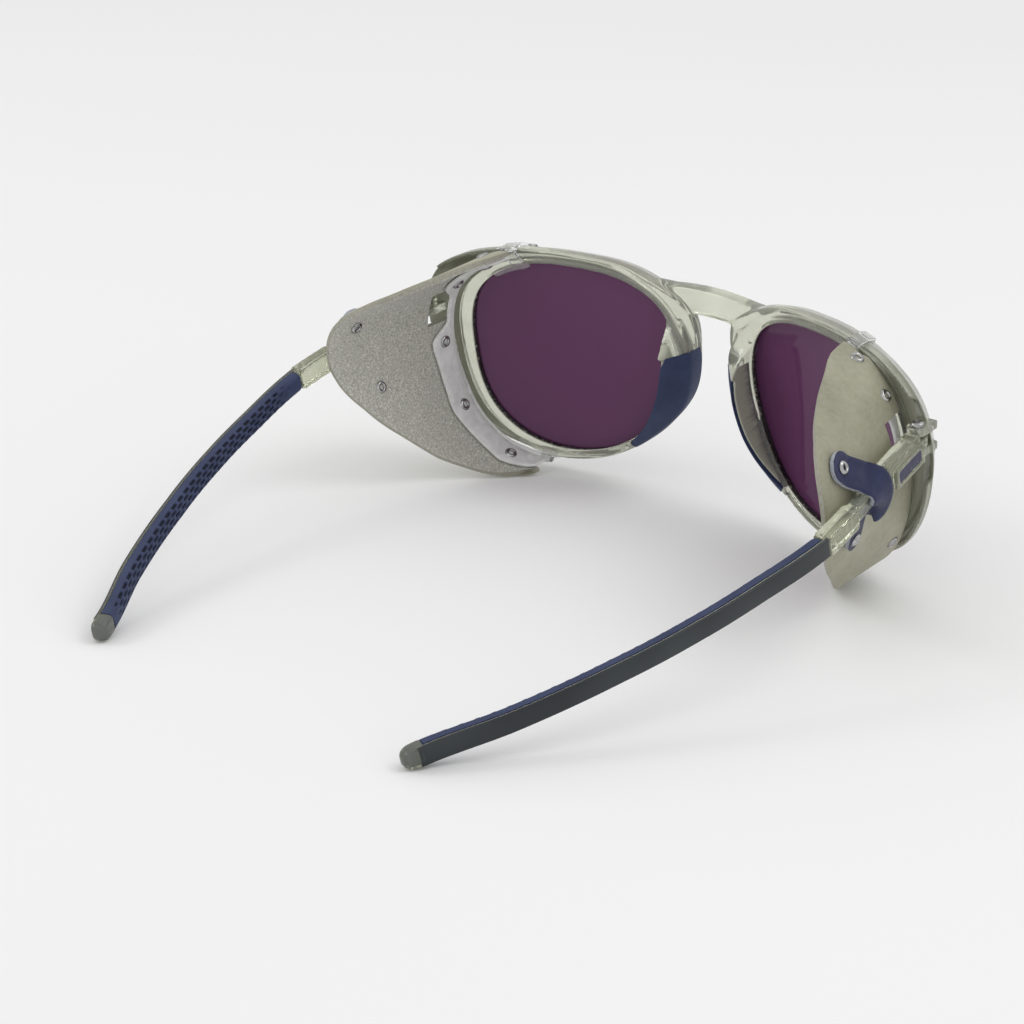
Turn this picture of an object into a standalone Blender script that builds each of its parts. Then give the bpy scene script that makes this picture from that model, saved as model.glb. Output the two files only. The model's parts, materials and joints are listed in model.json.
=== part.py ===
"""Glacier glasses: clear front, two lenses, hinged temples with rubber grips,
and a leather side shield on each side, held by a clear clip and a strap.

Every length below is in millimetres and every angle in degrees, in the front's
own frame: +X is the wearer's left, +Z is up along the upright front, and +Y runs
back towards the ears. The meshes are made in metres. The finished glasses are
then pitched to lie as they do on a table, on the shields' lower lobes and the
temple tips.
"""
import math

import bmesh
import bpy
from mathutils import Matrix, Vector

MM = 0.001
GAP = 0.25                       # play between neighbouring pieces
SIDES = (("left", 1), ("right", -1))

# ---- front ----
LENS_CENTRE = (34.5, -2.5)       # x and z of the middle of the lens opening
# Radius of the lens opening at a few angles, counted from the temple side upwards.
OPENING = ((0, 25.5), (38, 27.3), (92, 23.4), (142, 25.8), (200, 22.2), (260, 23.1), (318, 25.7))
# Width of the rim at a few angles: wide at the end piece, thin below the lens.
RIM_WIDTH = ((2, 9.8), (16, 11.2), (30, 10.8), (43, 8.2), (62, 4.4), (90, 3.2), (122, 3.8),
             (138, 5.0), (152, 7.2), (168, 5.4), (190, 5.0), (212, 3.2), (240, 2.1), (270, 2.2),
             (300, 2.8), (315, 4.2), (330, 6.2), (345, 7.9))
# Depth of the channel moulded in the back of the rim, beside the inner ridge.
CHANNEL_DEPTH = ((0, 2.4), (45, 2.4), (75, 1.2), (105, 1.2), (130, 0.0), (170, 0.0), (220, 0.0),
                 (285, 0.0), (310, 1.2), (335, 2.4))
FACE_CURVE = 122.0               # radius of the wrap of the front, seen from above
LENS_CURVE = 91.85               # radius of the front from top to bottom
FACE_BACK = -2.04                # y of the back of the front, at its middle
RIM_DEPTH = 5.6
RIM_WALL = 2.8                   # straight part of the rim's outer wall
GROOVE = (2.0, 4.4, 1.05)        # lens groove: back edge, front edge and depth
LENS_THICKNESS = 1.9
RIM_STEPS = 48

# ---- bridge and nose flange ----
BRIDGE_TOP = 19.9
BRIDGE_UNDER = 13.9
BRIDGE_REACH = 11.5
BRIDGE_SET_BACK = 1.1
# How far the nose flange stands back from the rim, and how wide it is, by angle.
FLANGE_HEIGHT = ((150, 0.4), (158, 4.0), (166, 6.9), (178, 7.8), (198, 7.2), (212, 5.8), (226, 3.6),
                 (240, 1.4))
FLANGE_WIDTH = ((150, 4.5), (166, 5.4), (180, 5.6), (196, 5.6), (210, 4.0), (224, 2.6), (240, 1.5))
FLANGE_KNEE = 1.8
PAD_THICKNESS = 0.9
PAD_ANGLES = (167.0, 236.0)

# ---- hinge ----
HINGE = (68.2, 18.3)             # x and y of the hinge axis
BARREL = 2.2
SCREW_HOLE = 1.0
KNUCKLES = ((6.4, 8.3), (8.6, 10.8), (11.1, 13.0))

# ---- temple ----
# Middle line of the temple seen from above, as x at y.
TEMPLE_PATH = ((69.0, 20.9), (69.7, 30.0), (71.1, 42.0), (72.3, 52.0), (72.3, 61.0), (69.9, 75.6),
               (66.4, 91.7), (60.8, 109.7), (52.7, 129.8), (42.1, 151.0))
TEMPLE_START_Z = 9.9
TEMPLE_DROOP = 0.1356            # fall of the temple for each millimetre of its run
GRIP_RUN = (59.0, 146.5)
GRIP_HALF = (1.8, 2.2)           # half thickness and half height in the grip
SPLIT_LINE = 0.1                 # the shell's inner face, out from the middle line

# ---- side shield, clip and strap ----
LEATHER = 1.5
SHIELD_OUT = 4.3                 # leather's middle surface, out from the lens opening
# Back edge of the shield: angle, radius about the lens middle, and y.
SHIELD_EDGE = ((66, 29.2, 14.0), (63, 30.2, 21.5), (50, 32.0, 35.0), (38, 35.1, 46.0),
               (30, 36.6, 51.2), (20, 36.0, 52.5), (8, 33.7, 51.0), (-7, 30.0, 46.3),
               (-24, 28.2, 40.1), (-43, 29.2, 32.0), (-58, 29.8, 24.5), (-71, 29.2, 17.7),
               (-77, 27.8, 13.8))
SHIELD_ANGLES = (66.0, -77.0)
WINDOW = ((58.0, 69.0), (12.0, 23.2), (5.4, 14.0))   # opening for the hinge, in x, y and z
CLIP_THICKNESS = 1.0
CLIP_ANGLES = (64.0, -75.0)
CLIP_WIDTH = ((-75, 4.5), (-60, 6.4), (-30, 6.8), (0, 6.8), (9, 6.6), (13, 2.0), (29, 2.0), (33, 5.0),
              (45, 5.0), (58, 5.0), (64, 4.6))
CLIP_RIVETS = ((56.0, 3.0), (38.0, 2.8), (6.0, 3.6), (-27.0, 3.4), (-60.0, 3.4))
HOOKS = (("top", 60.0, 66.5), ("bottom", -77.0, -70.0))
RIVET_HEAD = (1.7, 0.5)
RIVET_SHANK = 0.85
STRAP_THICKNESS = 1.2
STRAP_WIDTH = 7.0
STRAP_HOLES = ((45.0, 13.8), (40.0, -3.4))           # y and z of the strap's two rivets
STRAP_LIFT = 0.5                # slack between leather and strap at the rivets
STRAP_BOW = 6.8                  # how far the strap stands out round the temple

# ---- resting pose ----
LOBE_FOOT = (17.6, -30.76)       # y and z where a shield's lobe touches the table
TIP_FOOT = (149.6, -9.85)        # y and z of the flat under a temple tip


def clear_scene():
    for item in list(bpy.data.objects):
        bpy.data.objects.remove(item, do_unlink=True)


def plastic(name, colour, roughness, transmission=0.0, metallic=0.0):
    mat = bpy.data.materials.new(name)
    mat.use_nodes = True
    shader = mat.node_tree.nodes["Principled BSDF"]
    shader.inputs["Base Color"].default_value = (*colour, 1.0)
    shader.inputs["Roughness"].default_value = roughness
    shader.inputs["Metallic"].default_value = metallic
    shader.inputs["Transmission Weight"].default_value = transmission
    return mat


def make_materials():
    return {
        "frame": plastic("crystal_plastic", (0.62, 0.64, 0.50), 0.15, transmission=0.6),
        "lens": plastic("plum_lens", (0.11, 0.04, 0.09), 0.08),
        "rubber": plastic("navy_rubber", (0.02, 0.03, 0.08), 0.6),
        "leather": plastic("greige_leather", (0.42, 0.40, 0.34), 0.75),
        "navy_leather": plastic("navy_leather", (0.02, 0.03, 0.09), 0.5),
        "clear": plastic("clear_plastic", (0.85, 0.85, 0.85), 0.1, transmission=0.8),
        "metal": plastic("polished_metal", (0.75, 0.75, 0.75), 0.2, metallic=1.0),
    }


# ---- curves through a few given values ----
def spline(a, b, c, d, t):
    """Catmull-Rom value between b and c."""
    return 0.5 * (2 * b + (c - a) * t + (2 * a - 5 * b + 4 * c - d) * t * t
                  + (3 * b - 3 * c + d - a) * t ** 3)


def around(table, angle):
    """Smooth value at an angle, from a table that goes once round the circle."""
    angle %= 360.0
    count = len(table)
    for i in range(count):
        start = table[i][0]
        end = table[(i + 1) % count][0] + (360.0 if i == count - 1 else 0.0)
        place = angle + (360.0 if angle < start and i == count - 1 else 0.0)
        if start <= place <= end:
            values = [table[(i + k) % count][1] for k in (-1, 0, 1, 2)]
            return spline(*values, (place - start) / (end - start))
    raise ValueError(angle)


def along(table, at, column=1):
    """Smooth value at a place, from a table in rising order."""
    last = len(table) - 1
    i = max(0, min(last - 1, sum(row[0] <= at for row in table) - 1))
    t = max(0.0, min(1.0, (at - table[i][0]) / (table[i + 1][0] - table[i][0])))
    values = [table[max(0, min(last, i + k))][column] for k in (-1, 0, 1, 2)]
    return spline(*values, t)


def straight(table, at):
    """Value on straight lines between the rows of a table in rising order."""
    for (a, va), (b, vb) in zip(table[:-1], table[1:]):
        if at <= b:
            return va + (vb - va) * max(0.0, at - a) / (b - a)
    return table[-1][1]


# ---- meshes ----
def mesh_object(name, verts, faces, mat, parent, pivot=(0, 0, 0), side=1):
    """Object made from points in the front's frame, mirrored when side is -1."""
    mesh = bpy.data.meshes.new(name)
    offset = Vector(pivot)
    points = [(Vector((side * v[0], v[1], v[2])) - offset) * MM for v in verts]
    mesh.from_pydata(points, [], faces)
    bm = bmesh.new()
    bm.from_mesh(mesh)
    bmesh.ops.triangulate(bm, faces=[f for f in bm.faces if len(f.verts) > 4])
    bmesh.ops.recalc_face_normals(bm, faces=bm.faces)
    bm.to_mesh(mesh)
    bm.free()
    mesh.shade_smooth()
    mesh.set_sharp_from_angle(angle=math.radians(35))
    mesh.materials.append(mat)
    item = bpy.data.objects.new(name, mesh)
    item.parent = parent
    bpy.context.scene.collection.objects.link(item)
    return item


def loft(rings, closed=False):
    """Skin over rings of equal length, with flat ends unless the loft is closed."""
    size = len(rings[0])
    count = len(rings)
    verts = [point for ring in rings for point in ring]
    faces = []
    for i in range(count if closed else count - 1):
        a = i * size
        b = (i + 1) % count * size
        for k in range(size):
            n = (k + 1) % size
            faces.append((a + k, a + n, b + n, b + k))
    if not closed:
        faces.append(tuple(range(size)))
        faces.append(tuple(range((count - 1) * size, count * size)))
    return verts, faces


def turned(axis_start, direction, profile, steps=12):
    """Solid turned about an axis: profile holds (distance along the axis, radius)."""
    direction = Vector(direction).normalized()
    across = direction.orthogonal().normalized()
    third = direction.cross(across)
    rings = []
    for distance, radius in profile:
        centre = Vector(axis_start) + direction * distance
        rings.append([centre + radius * (math.cos(a) * across + math.sin(a) * third)
                      for a in (2 * math.pi * k / steps for k in range(steps))])
    return loft(rings)


def box_mesh(low, high):
    rings = [[(low[0], low[1], z), (high[0], low[1], z), (high[0], high[1], z), (low[0], high[1], z)]
             for z in (low[2], high[2])]
    return loft(rings)


def boolean(item, tool, operation):
    """Boolean with a hidden tool object."""
    tool.hide_render = True
    tool.display_type = "WIRE"
    modifier = item.modifiers.new(operation.lower() + "_" + tool.name, "BOOLEAN")
    modifier.operation = operation
    modifier.solver = "EXACT"
    modifier.object = tool


# ---- the front's shape ----
def face_back(x, z):
    """y of the back surface of the front."""
    return FACE_BACK + x * x / (2 * FACE_CURVE) + (z - LENS_CENTRE[1]) ** 2 / (2 * LENS_CURVE)


def rim_point(angle, out, forward):
    """Point by the lens opening: out from its edge and forward from the front's back."""
    radius = around(OPENING, angle) + out
    x = LENS_CENTRE[0] + radius * math.cos(math.radians(angle))
    z = LENS_CENTRE[1] + radius * math.sin(math.radians(angle))
    return (x, face_back(x, z) - forward, z)


def rim_section(angle):
    """Section of the rim as (out, forward): ridge, channel, lip, wall, face and groove."""
    width = around(RIM_WIDTH, angle)
    channel = max(0.0, around(CHANNEL_DEPTH, angle))
    at_hinge = 3 < angle < 33
    ridge = 1.0 + 0.15 * width
    lip = min(0.9, 0.25 * width)
    lip_depth = channel if at_hinge else min(channel, 0.6)
    bevel = min(0.38 * width, 2.6)
    slope = 0.12 * width
    back, front, depth = GROOVE
    return [(0, 0), (ridge, 0), (ridge + 0.3 * slope, channel), (width - lip - 0.3 * slope, channel),
            (width - lip, lip_depth), (width, lip_depth + 0.25), (width, RIM_WALL),
            (width - bevel, RIM_DEPTH), (0.5, RIM_DEPTH), (0, RIM_DEPTH - 0.5),
            (0, front), (depth, front), (depth, back), (0, back)]


def make_rim(name, mat, parent, side):
    rings = []
    for step in range(RIM_STEPS):
        angle = 360.0 * step / RIM_STEPS
        rings.append([rim_point(angle, out, forward) for out, forward in rim_section(angle)])
    return mesh_object(name, *loft(rings, closed=True), mat, parent, side=side)


def make_bridge(mat, parent):
    """Saddle bar between the rims, set a little forward of the rims' back."""
    rings = []
    steps = 10
    for step in range(steps + 1):
        x = BRIDGE_REACH * (2 * step / steps - 1)
        top = BRIDGE_TOP - 0.8 * (x / BRIDGE_REACH) ** 2
        under = BRIDGE_UNDER - 2.0 * (x / BRIDGE_REACH) ** 4
        back = face_back(x, 0.5 * (top + under)) - BRIDGE_SET_BACK
        front = back + BRIDGE_SET_BACK - RIM_DEPTH + 0.4
        c = 1.0
        rings.append([(x, back, under + c), (x, back, top - c), (x, back - c, top), (x, front + c, top),
                      (x, front, top - c), (x, front, under + c), (x, front + c, under),
                      (x, back - c, under)])
    return mesh_object("bridge_bar", *loft(rings), mat, parent)


def ramp_ends(angle, sink):
    """Rear and nasal ends of the flange's ramp as (out, back), sunk below its skin."""
    height = along(FLANGE_HEIGHT, angle)
    width = along(FLANGE_WIDTH, angle)
    knee = min(FLANGE_KNEE, 0.4 * height)
    run = width - 0.2
    rise = height - knee
    length = math.hypot(run, rise)
    normal = (rise / length, run / length)
    rear = (0.2, height - sink * length / run)
    nasal = (width - sink * normal[0], knee - sink * normal[1])
    return rear, nasal


def make_flange(name, mat, parent, side):
    """Wedge on the nasal side of the rim that carries the nose pad."""
    first, last = FLANGE_HEIGHT[0][0], FLANGE_HEIGHT[-1][0]
    angles = [first + 5.6 * k for k in range(3)] + [PAD_ANGLES[0] - 0.4, PAD_ANGLES[0]]
    angles += [PAD_ANGLES[0] + (PAD_ANGLES[1] - PAD_ANGLES[0]) * k / 9 for k in range(1, 10)]
    angles += [PAD_ANGLES[1] + 0.4, last]
    rings = []
    for angle in angles:
        under_pad = PAD_ANGLES[0] <= angle <= PAD_ANGLES[1]
        sink = PAD_THICKNESS + GAP if under_pad else 0.0
        rear, nasal = ramp_ends(angle, sink)
        outline = [(0.2, -1.2), rear, (rear[0] + 0.4, rear[1] - 0.1), nasal, (nasal[0], -1.2)]
        rings.append([rim_point(angle, out, -back) for out, back in outline])
    return mesh_object(name, *loft(rings), mat, parent, side=side)


def make_nose_pad(name, mat, parent, side):
    """Rubber skin on the flange's ramp, following it at a small gap."""
    rings = []
    steps = 12
    for step in range(steps + 1):
        share = step / steps
        angle = PAD_ANGLES[0] + 1.0 + (PAD_ANGLES[1] - PAD_ANGLES[0] - 2.0) * share
        rear, nasal = ramp_ends(angle, 0.0)
        rear_in, nasal_in = ramp_ends(angle, PAD_THICKNESS)
        outline = [rear, nasal, nasal_in, rear_in]
        rings.append([rim_point(angle, out, -back) for out, back in outline])
    return mesh_object(name, *loft(rings), mat, parent, side=side)


def knuckle_mesh(low, high, front_reach):
    """Hinge barrel joined to the front by a block that reaches forward."""
    x, y = HINGE
    outline = [(x + BARREL * math.cos(a), y + BARREL * math.sin(a))
               for a in (math.pi * k / 8 for k in range(9))]
    outline += [(x - BARREL, y - front_reach), (x + BARREL, y - front_reach)]
    return loft([[(px, py, z) for px, py in outline] for z in (low, high)])


def screw_hole(name, mat, parent, side):
    low, high = KNUCKLES[0][0] - 1, KNUCKLES[-1][1] + 1
    mesh = turned((*HINGE, low), (0, 0, 1), ((0, SCREW_HOLE), (high - low, SCREW_HOLE)), 16)
    return mesh_object(name, *mesh, mat, parent, side=side)


def make_front_frame(mats, root):
    frame = make_rim("front_frame", mats["frame"], root, 1)
    boolean(frame, make_rim("rim_right_shape", mats["frame"], root, -1), "UNION")
    boolean(frame, make_bridge(mats["frame"], root), "UNION")
    for word, side in SIDES:
        boolean(frame, make_flange("flange_" + word, mats["frame"], root, side), "UNION")
        for name, (low, high) in (("lower_", KNUCKLES[0]), ("upper_", KNUCKLES[2])):
            mesh = knuckle_mesh(low, high, 4.4)
            barrel = mesh_object(name + "barrel_" + word, *mesh, mats["frame"], root, side=side)
            boolean(frame, barrel, "UNION")
        boolean(frame, screw_hole("front_screw_hole_" + word, mats["frame"], root, side), "DIFFERENCE")
    return frame


def make_lens(word, side, mats, root):
    """Curved lens whose edge sits in the rim's groove."""
    back, _, depth = GROOVE
    rear = back + GAP
    faces_at = (rear, rear + LENS_THICKNESS)
    shares = (0.3, 0.6, 0.85, 1.0)
    rings = []
    for share, forward in [(s, faces_at[0]) for s in shares] + [(s, faces_at[1]) for s in shares[::-1]]:
        ring = []
        for step in range(RIM_STEPS):
            angle = 360.0 * step / RIM_STEPS
            radius = (around(OPENING, angle) + depth - GAP) * share
            x = LENS_CENTRE[0] + radius * math.cos(math.radians(angle))
            z = LENS_CENTRE[1] + radius * math.sin(math.radians(angle))
            ring.append((x, face_back(x, z) - forward, z))
        rings.append(ring)
    return mesh_object("lens_" + word, *loft(rings), mats["lens"], root, side=side)


def make_screw(word, side, mats, root):
    top = KNUCKLES[-1][1]
    foot = KNUCKLES[0][0] + 0.2
    radius = SCREW_HOLE - GAP
    profile = ((0, radius), (top + GAP - foot, radius), (top + GAP - foot, 1.5), (top + GAP + 0.6 - foot, 1.5),
               (top + GAP + 0.9 - foot, 1.1))
    mesh = turned((*HINGE, foot), (0, 0, 1), profile, 16)
    return mesh_object("hinge_screw_" + word, *mesh, mats["metal"], root, side=side)


# ---- temple ----
def temple_x(y):
    """x of the temple's middle line at y."""
    return along([(row[1], row[0]) for row in TEMPLE_PATH], y)


def temple_frame(y):
    """Middle point and the outward and upward directions of the temple at y."""
    step = 0.5
    middle = max(TEMPLE_PATH[0][1] + step, min(TEMPLE_PATH[-1][1] - step, y))
    low, high = middle - step, middle + step
    run = Vector((temple_x(high) - temple_x(low), high - low, -TEMPLE_DROOP * (high - low))).normalized()
    up = (Vector((0, 0, 1)) - run * run.z).normalized()
    centre = Vector((temple_x(y), y, TEMPLE_START_Z - TEMPLE_DROOP * (y - HINGE[1])))
    return centre, run.cross(up).normalized(), up


def temple_ring(y, inner, outer, low, high, bevel):
    """Bevelled rectangle across the temple; inner and outer are signed distances."""
    centre, out, up = temple_frame(y)
    b = bevel
    corners = [(inner, low + b), (inner, high - b), (inner + b, high), (outer - b, high),
               (outer, high - b), (outer, low + b), (outer - b, low), (inner + b, low)]
    return [centre + out * a + up * c for a, c in corners]


def temple_rings():
    """Rings of the temple: badge block, slim neck, step block, shell and tip."""
    thick, tall = GRIP_HALF
    rows = [(TEMPLE_PATH[0][1], -1.9, 1.9, 3.0), (33.5, -1.9, 1.9, 3.0), (35.0, -1.4, 1.3, 2.1),
            (46.5, -1.4, 1.3, 2.1), (48.0, -1.9, 2.0, 2.5), (GRIP_RUN[0] - 1.0, -1.95, 2.0, 2.5),
            (GRIP_RUN[0] - 0.6, -thick, thick, tall), (GRIP_RUN[0] - GAP, SPLIT_LINE, thick, tall)]
    middle = 14
    for k in range(1, middle):
        y = GRIP_RUN[0] + (GRIP_RUN[1] - GRIP_RUN[0]) * k / middle
        rows.append((y, SPLIT_LINE, thick, tall))
    end = TEMPLE_PATH[-1][1]
    rows += [(GRIP_RUN[1] + GAP, SPLIT_LINE, thick, tall), (GRIP_RUN[1] + 0.6, -thick, thick, tall),
             (end - 1.6, -thick, thick, tall), (end - 0.5, -0.8 * thick, 0.8 * thick, 0.85 * tall),
             (end, -0.45 * thick, 0.45 * thick, 0.5 * tall)]
    return [temple_ring(y, inner, outer, -half, half, min(0.7, 0.4 * half))
            for y, inner, outer, half in rows]


def make_temple(word, side, mats, root, pivot, anchor):
    temple = mesh_object("temple_" + word, *loft(temple_rings()), mats["frame"], pivot, anchor, side)
    x, y = HINGE
    low, high = KNUCKLES[1]
    outline = [(x + BARREL * math.cos(a), y + BARREL * math.sin(a))
               for a in (math.pi + math.pi * k / 8 for k in range(9))]
    outline += [(x + BARREL, y + 4.0), (x - 1.2, y + 4.0)]
    mesh = loft([[(px, py, z) for px, py in outline] for z in (low, high)])
    boolean(temple, mesh_object("temple_barrel_" + word, *mesh, mats["frame"], root, side=side), "UNION")
    hole = screw_hole("temple_screw_hole_" + word, mats["frame"], root, side)
    boolean(temple, hole, "DIFFERENCE")
    bezel = badge_mesh(-1.0, 1.0, 5.8, 2.4)
    boolean(temple, mesh_object("bezel_" + word, *bezel, mats["frame"], root, side=side), "UNION")
    pocket = badge_mesh(0.2, 2.0, 4.9, 1.6)
    boolean(temple, mesh_object("pocket_" + word, *pocket, mats["frame"], root, side=side), "DIFFERENCE")
    foot = tip_cutter("tip_cutter_" + word, mats["frame"], root, side)
    boolean(temple, foot, "DIFFERENCE")
    return temple


def badge_mesh(low, high, half_length, half_height):
    """Block on the outer face of the temple's front end; low and high count from that face."""
    middle = 27.0
    face = 1.9
    rings = []
    for y in (middle - half_length, middle + half_length):
        centre, out, up = temple_frame(y)
        centre = centre - 0.5 * up
        rings.append([centre + out * (face + a) + up * c
                      for a, c in ((low, -half_height), (high, -half_height), (high, half_height),
                                   (low, half_height))])
    return loft(rings)


def tip_cutter(name, mat, root, side):
    """Slab under a temple tip that leaves a flat foot, level in the resting pose."""
    y, z = TIP_FOOT
    tool = mesh_object(name, *box_mesh((30, -30, -20), (60, 30, 0)), mat, root, side=side)
    tool.location = (0, y * MM, z * MM)
    tool.rotation_euler = (rest_pitch(), 0, 0)
    return tool


def make_grip(word, side, mats, pivot, anchor):
    """Rubber bar along the inner half of the temple."""
    thick, tall = GRIP_HALF
    steps = 16
    rings = []
    for k in range(steps + 1):
        y = GRIP_RUN[0] + (GRIP_RUN[1] - GRIP_RUN[0]) * k / steps
        rings.append(temple_ring(y, -thick - 0.2, SPLIT_LINE - GAP, -tall, tall, 0.7))
    return mesh_object("temple_grip_" + word, *loft(rings), mats["rubber"], pivot, anchor, side)


def make_badge(word, side, mats, pivot, anchor):
    mesh = badge_mesh(0.2 + GAP, 0.9, 4.9 - GAP, 1.6 - GAP)
    return mesh_object("badge_" + word, *mesh, mats["navy_leather"], pivot, anchor, side)


# ---- side shield and clip ----
def shield_front_gap(angle):
    """Distance from the rim's back to the leather's front edge; more beside the hooks."""
    return straight(((-90, 2.0), (-67, 2.0), (-64, 0.6), (54, 0.6), (57, 2.0), (90, 2.0)), angle)


def shield_middle(angle, depth):
    """Point of the leather's middle surface: depth counts back from its front edge."""
    table = SHIELD_EDGE[::-1]
    x, back, z = rim_point(angle, SHIELD_OUT, 0)
    front_y = back + 0.6
    share = depth / (along(table, angle, 2) - front_y)
    front_radius = around(OPENING, angle) + SHIELD_OUT
    radius = front_radius + (along(table, angle, 1) - front_radius) * share
    x = LENS_CENTRE[0] + radius * math.cos(math.radians(angle))
    z = LENS_CENTRE[1] + radius * math.sin(math.radians(angle))
    return Vector((x, front_y + depth, z))


def shield_point(angle, depth, out):
    """Point at a distance out from the leather's middle surface, and that direction."""
    ahead = shield_middle(angle, depth + 0.5) - shield_middle(angle, depth - 0.5)
    turn = shield_middle(angle + 1.0, depth) - shield_middle(angle - 1.0, depth)
    normal = turn.cross(ahead).normalized()
    if normal.x * math.cos(math.radians(angle)) + normal.z * math.sin(math.radians(angle)) < 0:
        normal = -normal
    return shield_middle(angle, depth) + normal * out, normal


def shell_rings(angles, starts, ends, near, far, across):
    """Rings of a curved plate over the shield's surface, between two distances out."""
    rings = []
    for angle, start, end in zip(angles, starts, ends):
        depths = [start + (end - start) * k / across for k in range(across + 1)]
        ring = [shield_point(angle, d, far)[0] for d in depths]
        ring += [shield_point(angle, d, near)[0] for d in depths[::-1]]
        rings.append(ring)
    return rings


def shield_length(angle):
    """Depth of the leather's back edge."""
    return along(SHIELD_EDGE[::-1], angle, 2) - shield_middle(angle, 0).y


def rivet_holes(name, places, low, high, mat, root, side):
    """One tool with a hole for each rivet."""
    verts = []
    faces = []
    for start, normal in places:
        radius = RIVET_SHANK + GAP
        mesh = turned(start, normal, ((low, radius), (high, radius)), 10)
        faces += [tuple(index + len(verts) for index in face) for face in mesh[1]]
        verts += mesh[0]
    return mesh_object(name, verts, faces, mat, root, side=side)


def clip_rivet_places():
    return [shield_point(angle, depth, 0.0) for angle, depth in CLIP_RIVETS]


def strap_rivet_places():
    """Places on the leather's middle surface straight above the strap's two rivets."""
    places = []
    for y, z in STRAP_HOLES:
        angle = 20.0
        for _ in range(20):
            depth = y - shield_middle(angle, 0).y
            angle += 2.0 * (z - shield_middle(angle, depth).z)
        places.append(shield_point(angle, depth, 0.0))
    return places


def make_shield(word, side, mats, root):
    first, last = SHIELD_ANGLES
    steps = 30
    angles = [first + (last - first) * k / steps for k in range(steps + 1)]
    starts = [shield_front_gap(a) - 0.6 for a in angles]
    ends = [shield_length(a) for a in angles]
    rings = shell_rings(angles, starts, ends, -LEATHER / 2, LEATHER / 2, 6)
    shield = mesh_object("shield_leather_" + word, *loft(rings), mats["leather"], root, side=side)
    low, high = zip(*WINDOW)
    window = mesh_object("window_" + word, *box_mesh(low, high), mats["leather"], root, side=side)
    boolean(shield, window, "DIFFERENCE")
    places = clip_rivet_places() + strap_rivet_places()
    holes = rivet_holes("leather_holes_" + word, places, -3, 3, mats["leather"], root, side)
    boolean(shield, holes, "DIFFERENCE")
    return shield


def clip_offsets():
    """Inner and outer face of the clip's plate, out from the leather's middle surface."""
    outer = -LEATHER / 2 - GAP
    return outer - CLIP_THICKNESS, outer


def hook_mesh(first, last):
    """Hook from the plate over the rim to its front face, swept round the lens."""
    t = CLIP_THICKNESS
    rings = []
    steps = 3
    for step in range(steps + 1):
        angle = first + (last - first) * step / steps
        width = around(RIM_WIDTH, angle)
        top = width + GAP
        behind = GAP
        ahead = RIM_DEPTH + GAP
        lip = 1.2
        foot = 1.4
        outline = [(foot, -behind), (top, -behind), (top, ahead), (lip, ahead), (lip, ahead + t),
                   (top + t, ahead + t), (top + t, -behind - t), (foot, -behind - t)]
        rings.append([rim_point(angle, out, forward) for out, forward in outline])
    return loft(rings)


def make_clip(word, side, mats, root):
    first, last = CLIP_ANGLES
    steps = 34
    angles = [first + (last - first) * k / steps for k in range(steps + 1)]
    starts = [0.2 if -68 < a < 58 else 0.0 for a in angles]
    ends = [straight(CLIP_WIDTH, a) for a in angles]
    near, far = clip_offsets()
    rings = shell_rings(angles, starts, ends, near, far, 2)
    clip = mesh_object("shield_clip_" + word, *loft(rings), mats["clear"], root, side=side)
    for name, low, high in HOOKS:
        hook = mesh_object(name + "_hook_" + word, *hook_mesh(low, high), mats["clear"], root, side=side)
        boolean(clip, hook, "UNION")
    holes = rivet_holes("clip_holes_" + word, clip_rivet_places(), -5, 3, mats["clear"], root, side)
    boolean(clip, holes, "DIFFERENCE")
    return clip


def rivet_mesh(start, normal, low, high):
    """Rivet with a head at each end; low and high are the faces it clamps."""
    head, height = RIVET_HEAD
    low -= GAP
    high += GAP
    profile = ((low - height, 0.75 * head), (low - 0.4 * height, head), (low, head), (low, RIVET_SHANK),
               (high, RIVET_SHANK), (high, head), (high + 0.4 * height, head), (high + height, 0.75 * head))
    return turned(start, normal, profile, 12)


def make_clip_rivets(word, side, mats, root):
    near, _ = clip_offsets()
    for number, (start, normal) in enumerate(clip_rivet_places(), 1):
        mesh = rivet_mesh(start, normal, near, LEATHER / 2)
        name = "clip_rivet_" + str(number) + "_" + word
        mesh_object(name, *mesh, mats["metal"], root, side=side)


def strap_path():
    """Middle line of the strap: from the upper rivet, out round the temple, to the lower."""
    (top, top_normal), (foot, foot_normal) = strap_rivet_places()
    out = (LEATHER + STRAP_THICKNESS) / 2 + GAP + STRAP_LIFT
    start = top + top_normal * out
    end = foot + foot_normal * out
    run = (end - start).normalized()
    points = []
    steps = 18
    tail = 3.2
    for k in range(steps + 1):
        share = k / steps
        rise = max(0.0, min(1.0, (min(share, 1.0 - share) - 0.13) / 0.23))
        bow = STRAP_BOW * (rise * rise * (3 - 2 * rise) + 0.08 * math.sin(math.pi * share) * rise)
        points.append(start.lerp(end, share) + Vector((bow, 0, 0)))
    lift = 0.3
    return [start - run * tail + top_normal * lift] + points + [end + run * tail + foot_normal * lift]


def make_strap(word, side, mats, root, pivot, anchor):
    points = strap_path()
    (_, top_normal), (_, foot_normal) = strap_rivet_places()
    rings = []
    for k, point in enumerate(points):
        run = (points[min(k + 1, len(points) - 1)] - points[max(k - 1, 0)]).normalized()
        normal = top_normal.lerp(foot_normal, k / (len(points) - 1))
        wide = normal.cross(run).normalized()
        thick = run.cross(wide)
        w, t = STRAP_WIDTH / 2, STRAP_THICKNESS / 2
        if k in (0, len(points) - 1):
            w *= 0.6
        rings.append([point + wide * a * w + thick * b * t for a, b in ((-1, -1), (1, -1), (1, 1), (-1, 1))])
    strap = mesh_object("strap_" + word, *loft(rings), mats["navy_leather"], pivot, anchor, side)
    holes = rivet_holes("strap_holes_" + word, strap_rivet_places(), -3, 5, mats["navy_leather"], root, side)
    boolean(strap, holes, "DIFFERENCE")
    return strap


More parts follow.
